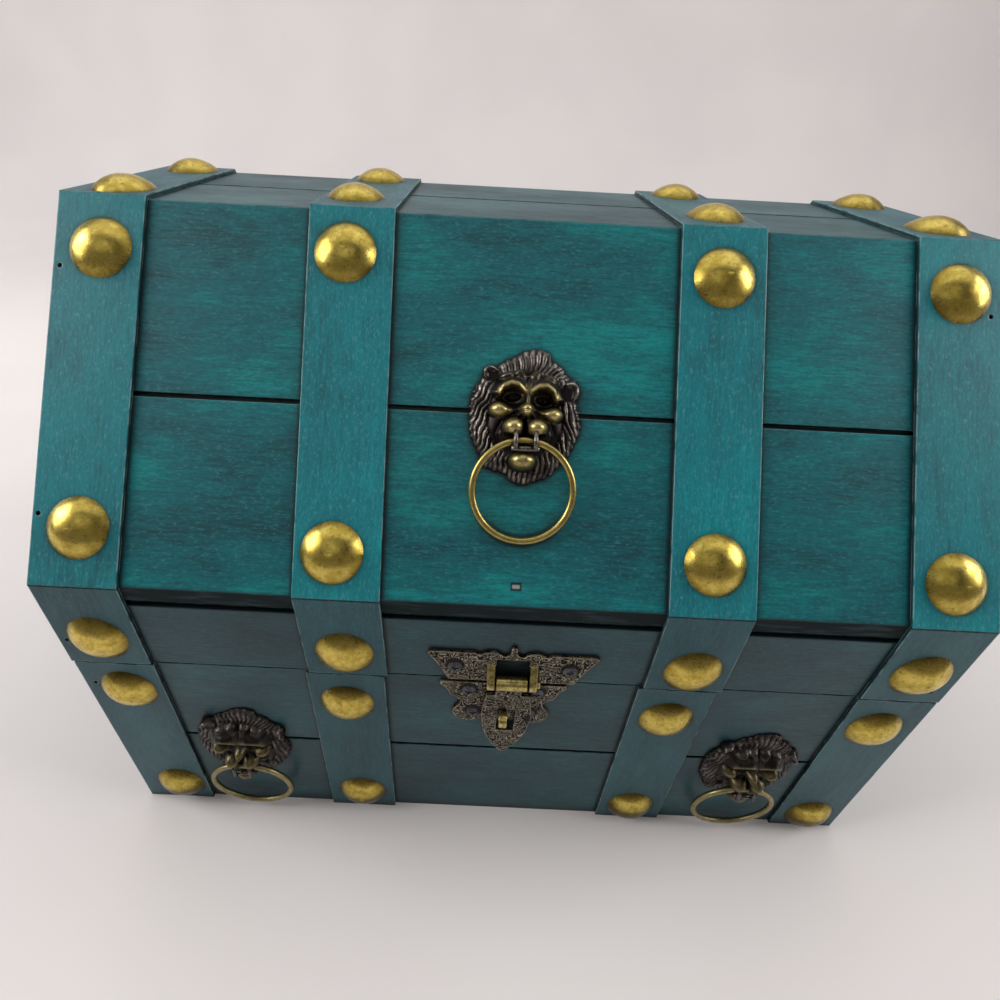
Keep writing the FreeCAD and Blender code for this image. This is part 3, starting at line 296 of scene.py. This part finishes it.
def embossed():
    """Antique brass stamped with fine curling ridges, plain on the knuckles, pin and staple, and with painted
    shade around the screws and in the knuckle's gaps.
    """
    s = Shader("hasp_brass")
    place = s.coordinates()
    wander = s.noise(place, 330.0, 1.0, 0.5)
    curl = s.noise(place, 780.0, 0.0, 0.5)
    wave = s.math("SINE", s.math("ADD", s.times(curl, 27.0), s.times(wander, 9.0)), 0.0)
    knuckles = s.within((None, None, SEAM - 0.9), (None, KNUCKLE_FACE, None), 0.1)
    plain = s.math("MAXIMUM", knuckles, s.within((None, None, None), (None, PROUD_FACE, None), 0.1))
    ridge = s.times(s.between(wave, 0.1, 0.75), s.math("SUBTRACT", 1.0, plain))
    rounded, edge = s.near_edge(0.5 * MM)
    grit = s.between(s.noise(place, 900.0, 3.0, 0.6), 0.35, 0.6, 0.45, 1.0)
    colour = s.mix(s.times(ridge, grit), (0.009, 0.008, 0.007), (0.37, 0.33, 0.245))
    colour = s.mix(s.times(edge, grit), colour, (0.62, 0.54, 0.38))
    colour = s.mix(s.times(plain, grit), colour, (0.56, 0.46, 0.16))
    # Painted shadow: a dark ring around each screw, centred a little above it
    for x, z in HASP_SCREWS:
        shadow_centre = Vector((HASP_MIDDLE + x, PLATE_FACE, SEAM + z + 0.8)) * MM
        centre = s.add("CombineXYZ", dict(enumerate(shadow_centre))).outputs[0]
        away = s.add("VectorMath", {0: place, 1: centre}, operation="DISTANCE").outputs["Value"]
        colour = s.mix(s.between(away, 2.3 * MM, 2.9 * MM, 0.95, 0.0), colour, (0.006, 0.005, 0.005))
    # Painted shade in the gaps beside the tongue's knuckle
    for x in HASP_GAPS:
        sides = (HASP_MIDDLE + x - GAP_HALF_WIDTH, HASP_MIDDLE + x + GAP_HALF_WIDTH)
        gap = s.within((sides[0], None, None), (sides[1], None, None), 0.06)
        colour = s.mix(s.times(gap, knuckles), colour, (0.008, 0.007, 0.006))
    colour = s.mix(s.times(s.in_hollow(2 * MM, 0.3, 0.85), 0.85), colour, (0.012, 0.010, 0.008))
    return s.surface({
        "Base Color": colour, "Metallic": 0.95,
        "Roughness": s.math("SUBTRACT", 0.42, s.times(plain, 0.17)),
        "Normal": s.bump(ridge, 0.6, 0.2 * MM, Normal=rounded)})


def bronze(name, rubbed):
    """Dark bronze, rubbed pale on the hair's crests and gold on the face's high places. A smaller rubbed value
    makes the darker copy, which is painted shade.
    """
    s = Shader(name)
    crest = s.add("Attribute", attribute_name="crest").outputs["Fac"]
    gold = s.add("Attribute", attribute_name="gold").outputs["Fac"]
    grit = s.noise(s.coordinates(), 1500.0, 3.0, 0.6)
    rub = s.times(crest, s.between(grit, 0.3, 0.62, 0.3 * rubbed, 0.4 + 0.6 * rubbed))
    colour = s.mix(rub, (0.018, 0.015, 0.014), (0.44, 0.39, 0.34))
    shine = s.times(gold, s.between(grit, 0.25, 0.6, 0.5 * rubbed, rubbed))
    colour = s.mix(shine, colour, (0.50, 0.41, 0.17))
    colour = s.mix(s.times(s.in_hollow(2 * MM, 0.25, 0.8), 0.85), colour, (0.008, 0.007, 0.007))
    return s.surface({
        "Base Color": colour, "Metallic": 0.85, "Roughness": 0.34,
        "Normal": s.bump(grit, 0.2, 0.1 * MM)})


# Finishes: one for each slot of the record, darker copies with painted shade for the lower lions and their rings,
# and turned grain for the ends
finishes = {name: brass(name, *values) for name, values in BRASSES.items()}
finishes["plank_wood"] = wood("plank_wood", "YZ", PLANK_COLOURS, TOP, PLANK_MARKS_AND_SHADE)
finishes["end_wood"] = wood("end_wood", "XZ", PLANK_COLOURS, TOP, [])
finishes["strap_wood"] = wood("strap_wood", "X", STRAP_COLOURS, STRAP_TOP, STRAP_STAINS)
finishes["hasp_brass"] = embossed()
finishes["lion_bronze"] = bronze("lion_bronze", 1.0)
# A darker copy: painted shade for the lions low on the walls
finishes["lion_bronze_shaded"] = bronze("lion_bronze_shaded", 0.3)
own_finishes = {}
for side in ("left", "right"):
    # The rings low on the walls take the darker copy, which is painted shade
    own_finishes[f"lion_{side}_ring"] = "ring_brass_shaded"
    own_finishes[f"base_{side}_end"] = "end_wood"
    own_finishes[f"lid_{side}_end"] = "end_wood"
slots = {row["node"]: row["material_slot"] for row in frame["record"]["subparts"]}
for name, node in nodes.items():
    node.data.materials.clear()
    node.data.materials.append(finishes[own_finishes.get(name, slots[name])])


def added(name, data):
    """A new object in the scene."""
    piece = bpy.data.objects.new(name, data)
    scene.collection.objects.link(piece)
    return piece


def smooth_mesh(name, points, faces, **shares):
    """A smooth-shaded mesh. Each share has a value per point, and a material reads it by its name."""
    mesh = bpy.data.meshes.new(name)
    mesh.from_pydata(points, [], faces)
    for label, values in shares.items():
        mesh.attributes.new(label, "FLOAT", "POINT").data.foreach_set("value", values.astype(np.float32))
    mesh.shade_smooth()
    return mesh


# Lion heads: a relief over the CAD head's outline, in millimetres across, up and out of the board
LION_OUTLINE = [
    (1.9, 16.4), (5.0, 15.9), (5.9, 13.8), (8.3, 12.5), (9.6, 10.3), (12.2, 8.9), (12.9, 6.1),
    (11.8, 4.0), (13.2, 0.8), (13.2, -3.1), (12.0, -5.9), (10.3, -9.5), (8.2, -11.8), (6.4, -14.0),
    (3.2, -15.3), (-0.1, -16.4), (-2.4, -15.8), (-4.5, -13.6), (-7.3, -13.2), (-9.4, -12.2),
    (-10.8, -9.0), (-12.2, -6.6), (-13.2, -1.7), (-13.4, 1.9), (-12.5, 6.1), (-10.4, 8.9),
    (-10.4, 10.3), (-9.7, 11.7), (-6.6, 11.8), (-5.9, 13.2), (-3.1, 14.3), (-1.3, 15.7)]
# Rounded forms: across, up, half width, half height, rise, and how gold each is rubbed
SKULL = (0.1, -0.5, 9.8, 12.0, 4.2, 0.0)
LION_FORMS = [
    SKULL,
    # forehead
    (0.2, 5.4, 7.4, 4.8, 4.9, 0.0),
    # knobs above the brows
    (-4.4, 8.6, 2.8, 2.1, 4.1, 0.05),
    (-1.6, 9.4, 2.1, 1.9, 4.1, 0.05),
    (1.9, 9.3, 2.1, 1.9, 4.1, 0.05),
    (5.0, 8.1, 2.8, 2.1, 4.1, 0.05),
    # bridge of the nose
    (0.3, 4.4, 1.5, 4.4, 5.2, 0.15),
    # cheeks
    (-6.1, 1.0, 3.3, 2.5, 5.1, 1.0),
    (6.0, 0.2, 3.3, 2.5, 5.1, 1.0),
    # nose and its tip
    (0.1, 1.2, 2.3, 1.9, 6.6, 0.95),
    (0.1, 0.0, 2.2, 1.3, 7.0, 1.0),
    # muzzle
    (-2.8, -3.2, 3.3, 2.9, 7.1, 0.95),
    (2.6, -3.3, 3.3, 2.9, 7.1, 0.95),
    # chin
    (-0.4, -10.9, 4.0, 2.9, 6.2, 0.8),
]
LION_BROWS = [
    [(-6.5, 4.7), (-5.7, 6.1), (-3.8, 6.9), (-2.0, 6.6), (-0.5, 5.3)],
    [(1.1, 5.3), (2.8, 6.4), (4.7, 6.5), (6.3, 5.5), (7.2, 3.7)]]
LION_EYES = [(-3.2, 4.3), (4.2, 3.8)]
# Ears: across, up, half width, half height, and the angle in radians at which the lip is highest
LION_EARS = [(-8.7, 9.9, 1.9, 1.7, 2.3), (10.6, 6.3, 1.9, 2.4, 0.5)]
# Half widths and half heights
SOCKET_SIZE = (3.0, 2.5)
EYE_SIZE = (1.6, 0.9)
PUPIL_SIZE = (0.55, 0.45)
NOSTRIL_SIZE = (0.6, 0.5)
NOSTRIL_ACROSS, NOSTRIL_UP = 1.15, -0.5
CHEEK_FOLD = [(1.9, 0.4), (5.6, -1.6), (7.0, -4.6), (5.6, -8.4)]
FOREHEAD_HALF_WIDTH = 7.5
# Widths of the mane's locks, and for the crown's fan how many there are to a radian
SIDE_LOCK, BEARD_LOCK, CROWN_LOCKS = 1.35, 1.25, 8.5
# The ring hangs in the mouth
MOUTH_UP, MOUTH_OUT = -6.3, 4.6
RING_RADIUS = 11.85
THINNEST, THICKEST = 0.25, 7.3
FAR_AWAY = 99.0
RELIEF_TURNS, RELIEF_RINGS = 520, 84


def ramp(value, zero, one):
    """A share that is 0 at one value, 1 at the other and straight in between."""
    return np.clip((value - zero) / (one - zero), 0, 1)


def ridge(distance, half_width):
    """A soft ridge's share of its height at a distance from its line."""
    return np.exp(-(distance / half_width) ** 2)


def dome(reach):
    """A dome's share of its height, where reach is 1 at its foot."""
    return np.sqrt(np.clip(1 - reach, 0, 1))


def smooth_greater(a, b, blend):
    """The greater of two heights, with a rounded join."""
    share = np.clip(0.5 + 0.5 * (a - b) / blend, 0, 1)
    return b + (a - b) * share + blend * share * (1 - share)


def line_distance(across, up, points):
    """How far each place is from a run of straight lines."""
    best = np.full(across.shape, FAR_AWAY)
    for (x0, y0), (x1, y1) in zip(points, points[1:]):
        dx, dy = x1 - x0, y1 - y0
        share = np.clip(((across - x0) * dx + (up - y0) * dy) / (dx * dx + dy * dy), 0, 1)
        best = np.minimum(best, np.hypot(across - x0 - share * dx, up - y0 - share * dy))
    return best


def scattered(index, seed):
    """A steady pseudo-random share for each whole number."""
    return np.modf(np.abs(np.sin(index * 12.9898 + seed * 78.233)) * 43758.5453)[0]


def strands(place, along, seed):
    """Locks of hair side by side: their rounded heights, and how pale each is rubbed along its run."""
    index = np.floor(place)
    profile = 1 - np.abs(2 * (place - index) - 1) ** 2.2
    lock = scattered(index, seed)
    fine = 0.5 + 0.5 * np.cos(2 * math.pi * (3 * place + lock))
    run = 0.5 + 0.5 * np.sin(along * (0.5 + 0.4 * lock) + 6.3 * scattered(index, seed + 1))
    height = (0.45 + 0.55 * lock) * profile + 0.12 * fine
    pale = np.clip(1.7 * profile - 0.75, 0, 1) * (0.2 + 0.8 * run) * (0.45 + 0.55 * fine)
    return height, pale


class Relief:
    """A lion's head as heights over the board. Crest is how far a place shows as a rubbed lock of hair,
    and gold how far it is rubbed gold."""

    def __init__(self, across, up, inward):
        self.across = across
        self.up = up
        self.add_mane(inward)
        self.face = np.zeros_like(self.height)
        self.gold = np.zeros_like(self.height)
        self.add_forms()
        self.add_eyes()
        self.add_brows()
        self.add_forehead()
        self.add_muzzle()
        self.join_face()
        self.add_ears()
        self.cut_mouth()
        self.height = np.clip(self.height, THINNEST, THICKEST)

    def reach(self, x, y, half_width, half_height):
        """0 in the middle of an oval and 1 on its outline."""
        return ((self.across - x) / half_width) ** 2 + ((self.up - y) / half_height) ** 2

    def add_mane(self, inward):
        """Locks that fall at the sides, fan out over the crown and hang as a beard."""
        across, up = self.across, self.up
        sway = 0.45 * np.sin(0.5 * up + 1.3 * np.sign(across)) + 0.25 * np.sin(1.1 * up + 0.9 * across)
        slant = np.where(across < 0, 0.42, 0.24)
        # The right side takes locks of its own, far from the left side's
        other_locks = 40 * (across > 0)
        side = strands((np.abs(across) + slant * up + sway) / SIDE_LOCK + other_locks, up, 1.0)
        around = np.arctan2(across - 0.25 * (up - 8) - 0.4, up - 2.0)
        crown = strands(around * CROWN_LOCKS + 0.25 * np.sin(0.9 * up), up, 2.0)
        beard = strands((across + 0.3 * np.sin(0.7 * up)) / BEARD_LOCK, up, 3.0)
        crown_share = ramp(up, 7.5, 10.0)
        beard_share = ramp(up, -9.5, -11.5) * ramp(np.abs(across), 8.5, 6.5)
        hair, self.crest = (
            (a * (1 - crown_share) + b * crown_share) * (1 - beard_share) + c * beard_share
            for a, b, c in zip(side, crown, beard))
        rim = ramp(inward, 0, 1.4)
        height = 0.3 + 0.9 * np.sqrt(rim) + 0.5 * ramp(inward, 0, 4.0) + 0.75 * hair * (0.4 + 0.6 * rim)
        bald = np.clip(4.0 - 4.4 * self.reach(*SKULL[:4]), 0, 1) * ramp(up, -8.5, -7.0)
        self.height = height * (1 - bald) * (1 - 0.25 * crown_share)

    def add_forms(self):
        """The face's rounded forms, rubbed gold on top."""
        for *oval, rise, shine in LION_FORMS:
            reach = self.reach(*oval)
            self.face = smooth_greater(self.face, rise * dome(reach), 0.6)
            rubbed = shine * np.clip(1.2 - 1.5 * reach, 0, 1)
            self.gold = np.maximum(self.gold * np.clip(1.3 * reach, 0, 1), rubbed)

    def add_eyes(self):
        """Eyeballs in sunk sockets, with lids around them and pupils."""
        for place in LION_EYES:
            socket = self.reach(*place, *SOCKET_SIZE)
            self.face -= 3.2 * np.exp(-1.2 * socket ** 1.6)
            self.gold *= 1 - np.exp(-0.8 * socket ** 2)
            eye = self.reach(*place, *EYE_SIZE)
            self.face += 1.3 * dome(eye)
            lid = ridge(np.sqrt(eye) - 1.3, 0.22)
            self.face += 0.5 * lid
            self.gold = np.maximum(self.gold, 0.18 * lid)
            self.face -= 0.6 * np.exp(-self.reach(*place, *PUPIL_SIZE))

    def add_brows(self):
        """Ledges that fall off steeply towards the eyes, with a gold line along each."""
        for brow in LION_BROWS:
            away = line_distance(self.across, self.up, brow)
            level = np.interp(self.across, *zip(*brow))
            width = np.where(self.up > level, 3.0, 0.8)
            rise = 5.7 - 0.5 * (6.9 - level)
            self.face = smooth_greater(self.face, rise * ridge(away, width), 0.3)
            self.gold = np.maximum(self.gold, 0.95 * ridge(away, 0.55))

    def add_forehead(self):
        """Wavy furrows above the brows, and the frown line between them."""
        across, up = self.across, self.up
        furrow = np.sin(2.2 * up + 0.9 * np.abs(across - 0.3) + 1.0) * ramp(up, 7.8, 8.8)
        inside = np.clip(FOREHEAD_HALF_WIDTH - np.abs(across), 0, 1)
        self.face += 0.25 * furrow * inside
        self.face -= 0.7 * ridge(across - 0.25, 0.5) * ramp(up, 5.2, 6.7) * (up < 9)
        self.scruff = 0.3 * np.clip(furrow, 0, 1) * inside * ramp(up, 8.0, 9.0)

    def add_muzzle(self):
        """The nostrils, the cleft below the nose and the folds that frame the muzzle."""
        across, up = self.across, self.up
        for side in (-1, 1):
            nostril = np.exp(-self.reach(side * NOSTRIL_ACROSS, NOSTRIL_UP, *NOSTRIL_SIZE))
            self.face -= 1.3 * nostril
            self.gold *= 1 - 0.8 * nostril
        cleft = ridge(across + 0.25, 0.4) * ramp(up, -0.6, -1.4) * ramp(up, -5.4, -4.4)
        self.face -= 1.6 * cleft
        self.gold *= 1 - 0.9 * cleft
        for side in (-1, 1):
            fold = [(side * x, y) for x, y in CHEEK_FOLD]
            self.face -= 0.7 * ridge(line_distance(across, up, fold), 0.55)

    def join_face(self):
        """The face grows out of the mane, and hides the hair where it stands higher."""
        self.height = smooth_greater(self.height, self.face, 0.5)
        hair = np.clip((self.height - self.face) / 0.5, 0, 1)
        self.crest = np.maximum(self.crest * hair, self.scruff * (1 - hair))

    def add_ears(self):
        """Cupped ears with a rubbed lip."""
        for x, y, half_width, half_height, outward in LION_EARS:
            over, above = (self.across - x) / half_width, (self.up - y) / half_height
            reach = np.hypot(over, above)
            turn = np.arctan2(above, over) - outward
            lip = ridge(reach - 0.78, 0.3) * np.clip(0.35 + 0.8 * np.cos(turn), 0, 1)
            inside = np.clip((1.25 - reach) / 0.3, 0, 1)
            self.height = self.height * (1 - inside) + (1.5 + 1.5 * lip) * inside
            self.crest = np.maximum(self.crest * (1 - inside), 0.9 * lip * inside)

    def cut_mouth(self):
        """A dark channel that leaves room for the ring."""
        reach = np.clip(np.abs(self.across), 0, 0.98 * RING_RADIUS)
        dip = RING_RADIUS - np.sqrt(RING_RADIUS ** 2 - reach ** 2)
        radius = np.clip(1.25 + 0.5 * dip, 0, 2.4)
        drop = np.clip(radius ** 2 - (self.up - MOUTH_UP) ** 2, 0, None)
        ceiling = np.where(drop > 0, MOUTH_OUT - np.sqrt(drop), FAR_AWAY)
        cut = self.height > ceiling
        self.height = np.minimum(self.height, ceiling)
        self.crest = np.where(cut, 0, self.crest)
        self.gold = np.where(cut, 0, self.gold)


def lion_edge(angle):
    """The outline's radius at each angle, smoothed and rippled by the ends of the locks."""
    outline = np.array(LION_OUTLINE)
    angles = np.arctan2(outline[:, 1], outline[:, 0])
    order = np.argsort(angles)
    radius = np.interp(angle, angles[order], np.hypot(*outline.T)[order], period=2 * math.pi)
    window = np.hanning(11)
    half = len(window) // 2
    wrapped = np.concatenate([radius[-half:], radius, radius[:half]])
    radius = np.convolve(wrapped, window / window.sum(), "valid")
    return radius + 0.22 * np.cos(angle * 46) * np.clip(np.abs(np.cos(angle)) + 0.4, 0, 1)


def lion_mesh():
    """One relief as a mesh: rings of points out to the outline, and a skirt down to the board."""
    turns, rings = RELIEF_TURNS, RELIEF_RINGS
    angle = np.linspace(-math.pi, math.pi, turns, endpoint=False)
    radius = lion_edge(angle)
    share = np.linspace(0, 1, rings + 1)[1:, None] ** 0.9
    across = np.concatenate([[0], (share * radius * np.cos(angle)).ravel()])
    up = np.concatenate([[0], (share * radius * np.sin(angle)).ravel()])
    inward = np.concatenate([[radius.min()], ((1 - share) * radius).ravel()])
    relief = Relief(across, up, inward)
    foot = np.zeros(turns)
    points = np.stack([
        np.concatenate([across, across[-turns:]]), np.concatenate([up, up[-turns:]]),
        np.concatenate([relief.height, foot])], 1)
    faces = [(0, 1 + i, 1 + (i + 1) % turns) for i in range(turns)]
    for ring in range(rings):
        low, high = 1 + ring * turns, 1 + (ring + 1) * turns
        faces += [(low + i, high + i, high + (i + 1) % turns, low + (i + 1) % turns) for i in range(turns)]
    return smooth_mesh(
        "lion_relief", (points * MM).tolist(), faces,
        crest=np.concatenate([relief.crest, foot]), gold=np.concatenate([relief.gold, foot]))


# Fangs in front of the ring, and the lip bar that they stand on: up and out of the board, and radius
FANG_ACROSS = 2.31
FANG_TOP, FANG_FOOT, FANG_RADIUS = (-4.3, 6.3), (-8.4, 6.7), 0.55
LIP_HALF_WIDTH = 3.2
LIP_PLACE, LIP_RADIUS = (-8.35, 5.7), 0.6
FANG_CREST = 0.45
TUBE_SIDES = 14


def tube(start, end, radius):
    """Points around the start and the end of a round bar."""
    start, end = np.array(start, float), np.array(end, float)
    axis = (end - start) / np.linalg.norm(end - start)
    side = np.cross(axis, (0, 0, 1))
    side /= np.linalg.norm(side)
    other = np.cross(axis, side)
    turns = [2 * math.pi * i / TUBE_SIDES for i in range(TUBE_SIDES)]
    return [place + radius * (math.cos(turn) * side + math.sin(turn) * other)
            for place in (start, end) for turn in turns]


def fang_mesh():
    """The two fangs and the lip bar as closed bars in one mesh."""
    bars = [((x, *FANG_TOP), (x, *FANG_FOOT), FANG_RADIUS) for x in (-FANG_ACROSS, FANG_ACROSS)]
    bars.append(((-LIP_HALF_WIDTH, *LIP_PLACE), (LIP_HALF_WIDTH, *LIP_PLACE), LIP_RADIUS))
    points, faces = [], []
    for bar in bars:
        near = range(len(points), len(points) + TUBE_SIDES)
        far = range(near.stop, near.stop + TUBE_SIDES)
        points += tube(*bar)
        for i in range(TUBE_SIDES):
            j = (i + 1) % TUBE_SIDES
            faces.append((near[i], near[j], far[j], far[i]))
        faces.append(tuple(reversed(near)))
        faces.append(tuple(far))
    return smooth_mesh(
        "lion_fangs", (np.array(points) * MM).tolist(), faces,
        crest=np.full(len(points), FANG_CREST), gold=np.zeros(len(points)))


def facing(origin, up, out):
    """The placement of a fitting: its own Y points up the face and its Z out of it."""
    turn = Matrix((up.cross(out), up, out)).transposed()
    return Matrix.Translation(origin) @ turn.to_4x4()


slope_up = Vector((0, TOP_FRONT - FRONT, TOP - SHOULDER)).normalized()
slope_out = Vector((0, -slope_up.z, slope_up.y))
wall_up, wall_out = Vector((0, 0, 1)), Vector((0, -1, 0))
# Each lion's body, the way up and out of the board that it sits on, and its finish
LIONS = {
    "lid": ("lid", slope_up, slope_out, "lion_bronze"),
    # The lions low on the walls take the darker copy, which is painted shade
    "left": ("base", wall_up, wall_out, "lion_bronze_shaded"),
    "right": ("base", wall_up, wall_out, "lion_bronze_shaded"),
}
relief, fangs = lion_mesh(), fang_mesh()
for name, (body, up, out, finish) in LIONS.items():
    mouth = joint_places[f"{name}_ring_swing"]
    place = facing(mouth - (up * MOUTH_UP + out * MOUTH_OUT) * MM, up, out)
    head = added(f"lion_{name}_relief", relief.copy())
    teeth = added(f"lion_{name}_fangs", fangs.copy())
    for piece in (head, teeth):
        piece.data.materials.append(finishes[finish])
        piece.matrix_world = place
        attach(piece, body)
    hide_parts(f"lion_{name}_head")


# Stage, in metres: a pale cloth floor that curves up behind, and a grey wall around the room
CLOTH_HALF_WIDTH = 2.6
CLOTH_FRONT = -2.4
BEND_START, BEND_RADIUS, BEND_STEPS = 0.55, 0.3, 40
CLOTH_HEIGHT = 1.6
WALL_RADIUS, WALL_HEIGHT, WALL_SIDES = 2.5, 1.5, 72
STAGE_GREY = (0.40, 0.385, 0.385)
MATT = 0.9


def cloth_mesh():
    """The floor, its bend and the upright cloth behind, as one strip."""
    profile = [(CLOTH_FRONT, 0.0), (BEND_START, 0.0)]
    for i in range(1, BEND_STEPS + 1):
        turn = math.pi / 2 * i / BEND_STEPS
        rise = BEND_RADIUS - BEND_RADIUS * math.cos(turn)
        profile.append((BEND_START + BEND_RADIUS * math.sin(turn), rise))
    profile.append((BEND_START + BEND_RADIUS, CLOTH_HEIGHT))
    points = [(x, y, z) for x in (-CLOTH_HALF_WIDTH, CLOTH_HALF_WIDTH) for y, z in profile]
    count = len(profile)
    faces = [(i, count + i, count + i + 1, i + 1) for i in range(count - 1)]
    return smooth_mesh("stage_cloth", points, faces)


def cloth_finish():
    """Pale cloth with a faint change of shade."""
    s = Shader("stage_cloth")
    shade = s.between(s.noise(s.coordinates(), 6.0), 0.35, 0.65)
    colour = s.mix(shade, (0.75, 0.71, 0.71), (0.78, 0.745, 0.74))
    return s.surface({"Base Color": colour, "Roughness": MATT})


def wall_mesh():
    """A round wall, open above."""
    turns = [2 * math.pi * i / WALL_SIDES for i in range(WALL_SIDES)]
    points = [(WALL_RADIUS * math.cos(turn), WALL_RADIUS * math.sin(turn), z)
              for z in (0.0, WALL_HEIGHT) for turn in turns]
    faces = [(i, (i + 1) % WALL_SIDES, WALL_SIDES + (i + 1) % WALL_SIDES, WALL_SIDES + i)
             for i in range(WALL_SIDES)]
    return smooth_mesh("stage_wall", points, faces)


cloth = added("stage_cloth", cloth_mesh())
cloth.data.materials.append(cloth_finish())
wall = added("stage_wall", wall_mesh())
wall_finish = Shader("stage_wall").surface({"Base Color": STAGE_GREY, "Roughness": MATT})
wall.data.materials.append(wall_finish)


def studio():
    """A room that gives less light from the camera's side of the chest than from behind it."""
    world = bpy.data.worlds.new("studio")
    world.use_nodes = True
    tree = world.node_tree
    heading = tree.nodes.new("ShaderNodeTexCoord").outputs["Generated"]
    parts = tree.nodes.new("ShaderNodeSeparateXYZ")
    spread = tree.nodes.new("ShaderNodeMapRange")
    spread.interpolation_type = "SMOOTHSTEP"
    limits = {"From Min": -0.3, "From Max": 0.5, "To Min": 0.05, "To Max": 0.6}
    for socket, value in limits.items():
        spread.inputs[socket].default_value = value
    background = tree.nodes["Background"]
    background.inputs["Color"].default_value = (1.0, 0.98, 0.975, 1)
    tree.links.new(heading, parts.inputs[0])
    tree.links.new(parts.outputs["Y"], spread.inputs["Value"])
    tree.links.new(spread.outputs[0], background.inputs["Strength"])
    return world


scene.world = studio()

# Lamps: place, target, width and height in metres, and power in watts
LAMP_COLOUR = (1.0, 0.98, 0.96)
SOFTBOXES = {
    "left_softbox": ((-1.0, -0.1, 0.62), (0, 0, 0.08), 0.6, 0.65, 9.2),
    "right_softbox": ((0.9, -0.06, 0.52), (0, 0, 0.08), 0.5, 0.55, 5.2),
    "back_softbox": ((0.0, 0.3, 1.15), (0, 0, 0.05), 1.8, 1.2, 5.4),
    "front_softbox": ((-0.15, -0.75, 1.0), (0, 0, 0.1), 0.9, 0.6, 0.9),
}
for name, (place, target, width, height, power) in SOFTBOXES.items():
    lamp = bpy.data.lights.new(name, "AREA")
    lamp.shape = "RECTANGLE"
    lamp.size = width
    lamp.size_y = height
    lamp.energy = power
    lamp.color = LAMP_COLOUR
    holder = added(name, lamp)
    holder.location = place
    holder.rotation_euler = (Vector(target) - Vector(place)).to_track_quat("-Z", "Y").to_euler()

# Camera, from the fit to the photo
CAMERA_PLACE = (-11.032, -179.83, 195.874)
CAMERA_RIGHT = (0.99871, 0.02454, 0.04455)
CAMERA_FORWARD = (0.0063, 0.80955, -0.58702)
SENSOR_WIDTH = 36.0
# The focal length and the shift as shares of the sensor's width
LENS_SHARE = 0.56132
SHIFT_SHARE = 0.021705
NEAREST = 0.005
right = Vector(CAMERA_RIGHT).normalized()
forward = Vector(CAMERA_FORWARD)
forward = (forward - right * forward.dot(right)).normalized()
upward = right.cross(forward)
camera_data = bpy.data.cameras.new("camera")
camera_data.sensor_fit = "HORIZONTAL"
camera_data.sensor_width = SENSOR_WIDTH
camera_data.lens = LENS_SHARE * SENSOR_WIDTH
camera_data.shift_x = SHIFT_SHARE
camera_data.clip_start = NEAREST
camera = added("camera", camera_data)
camera.matrix_world = facing(Vector(CAMERA_PLACE) * MM, upward, -forward)
scene.camera = camera
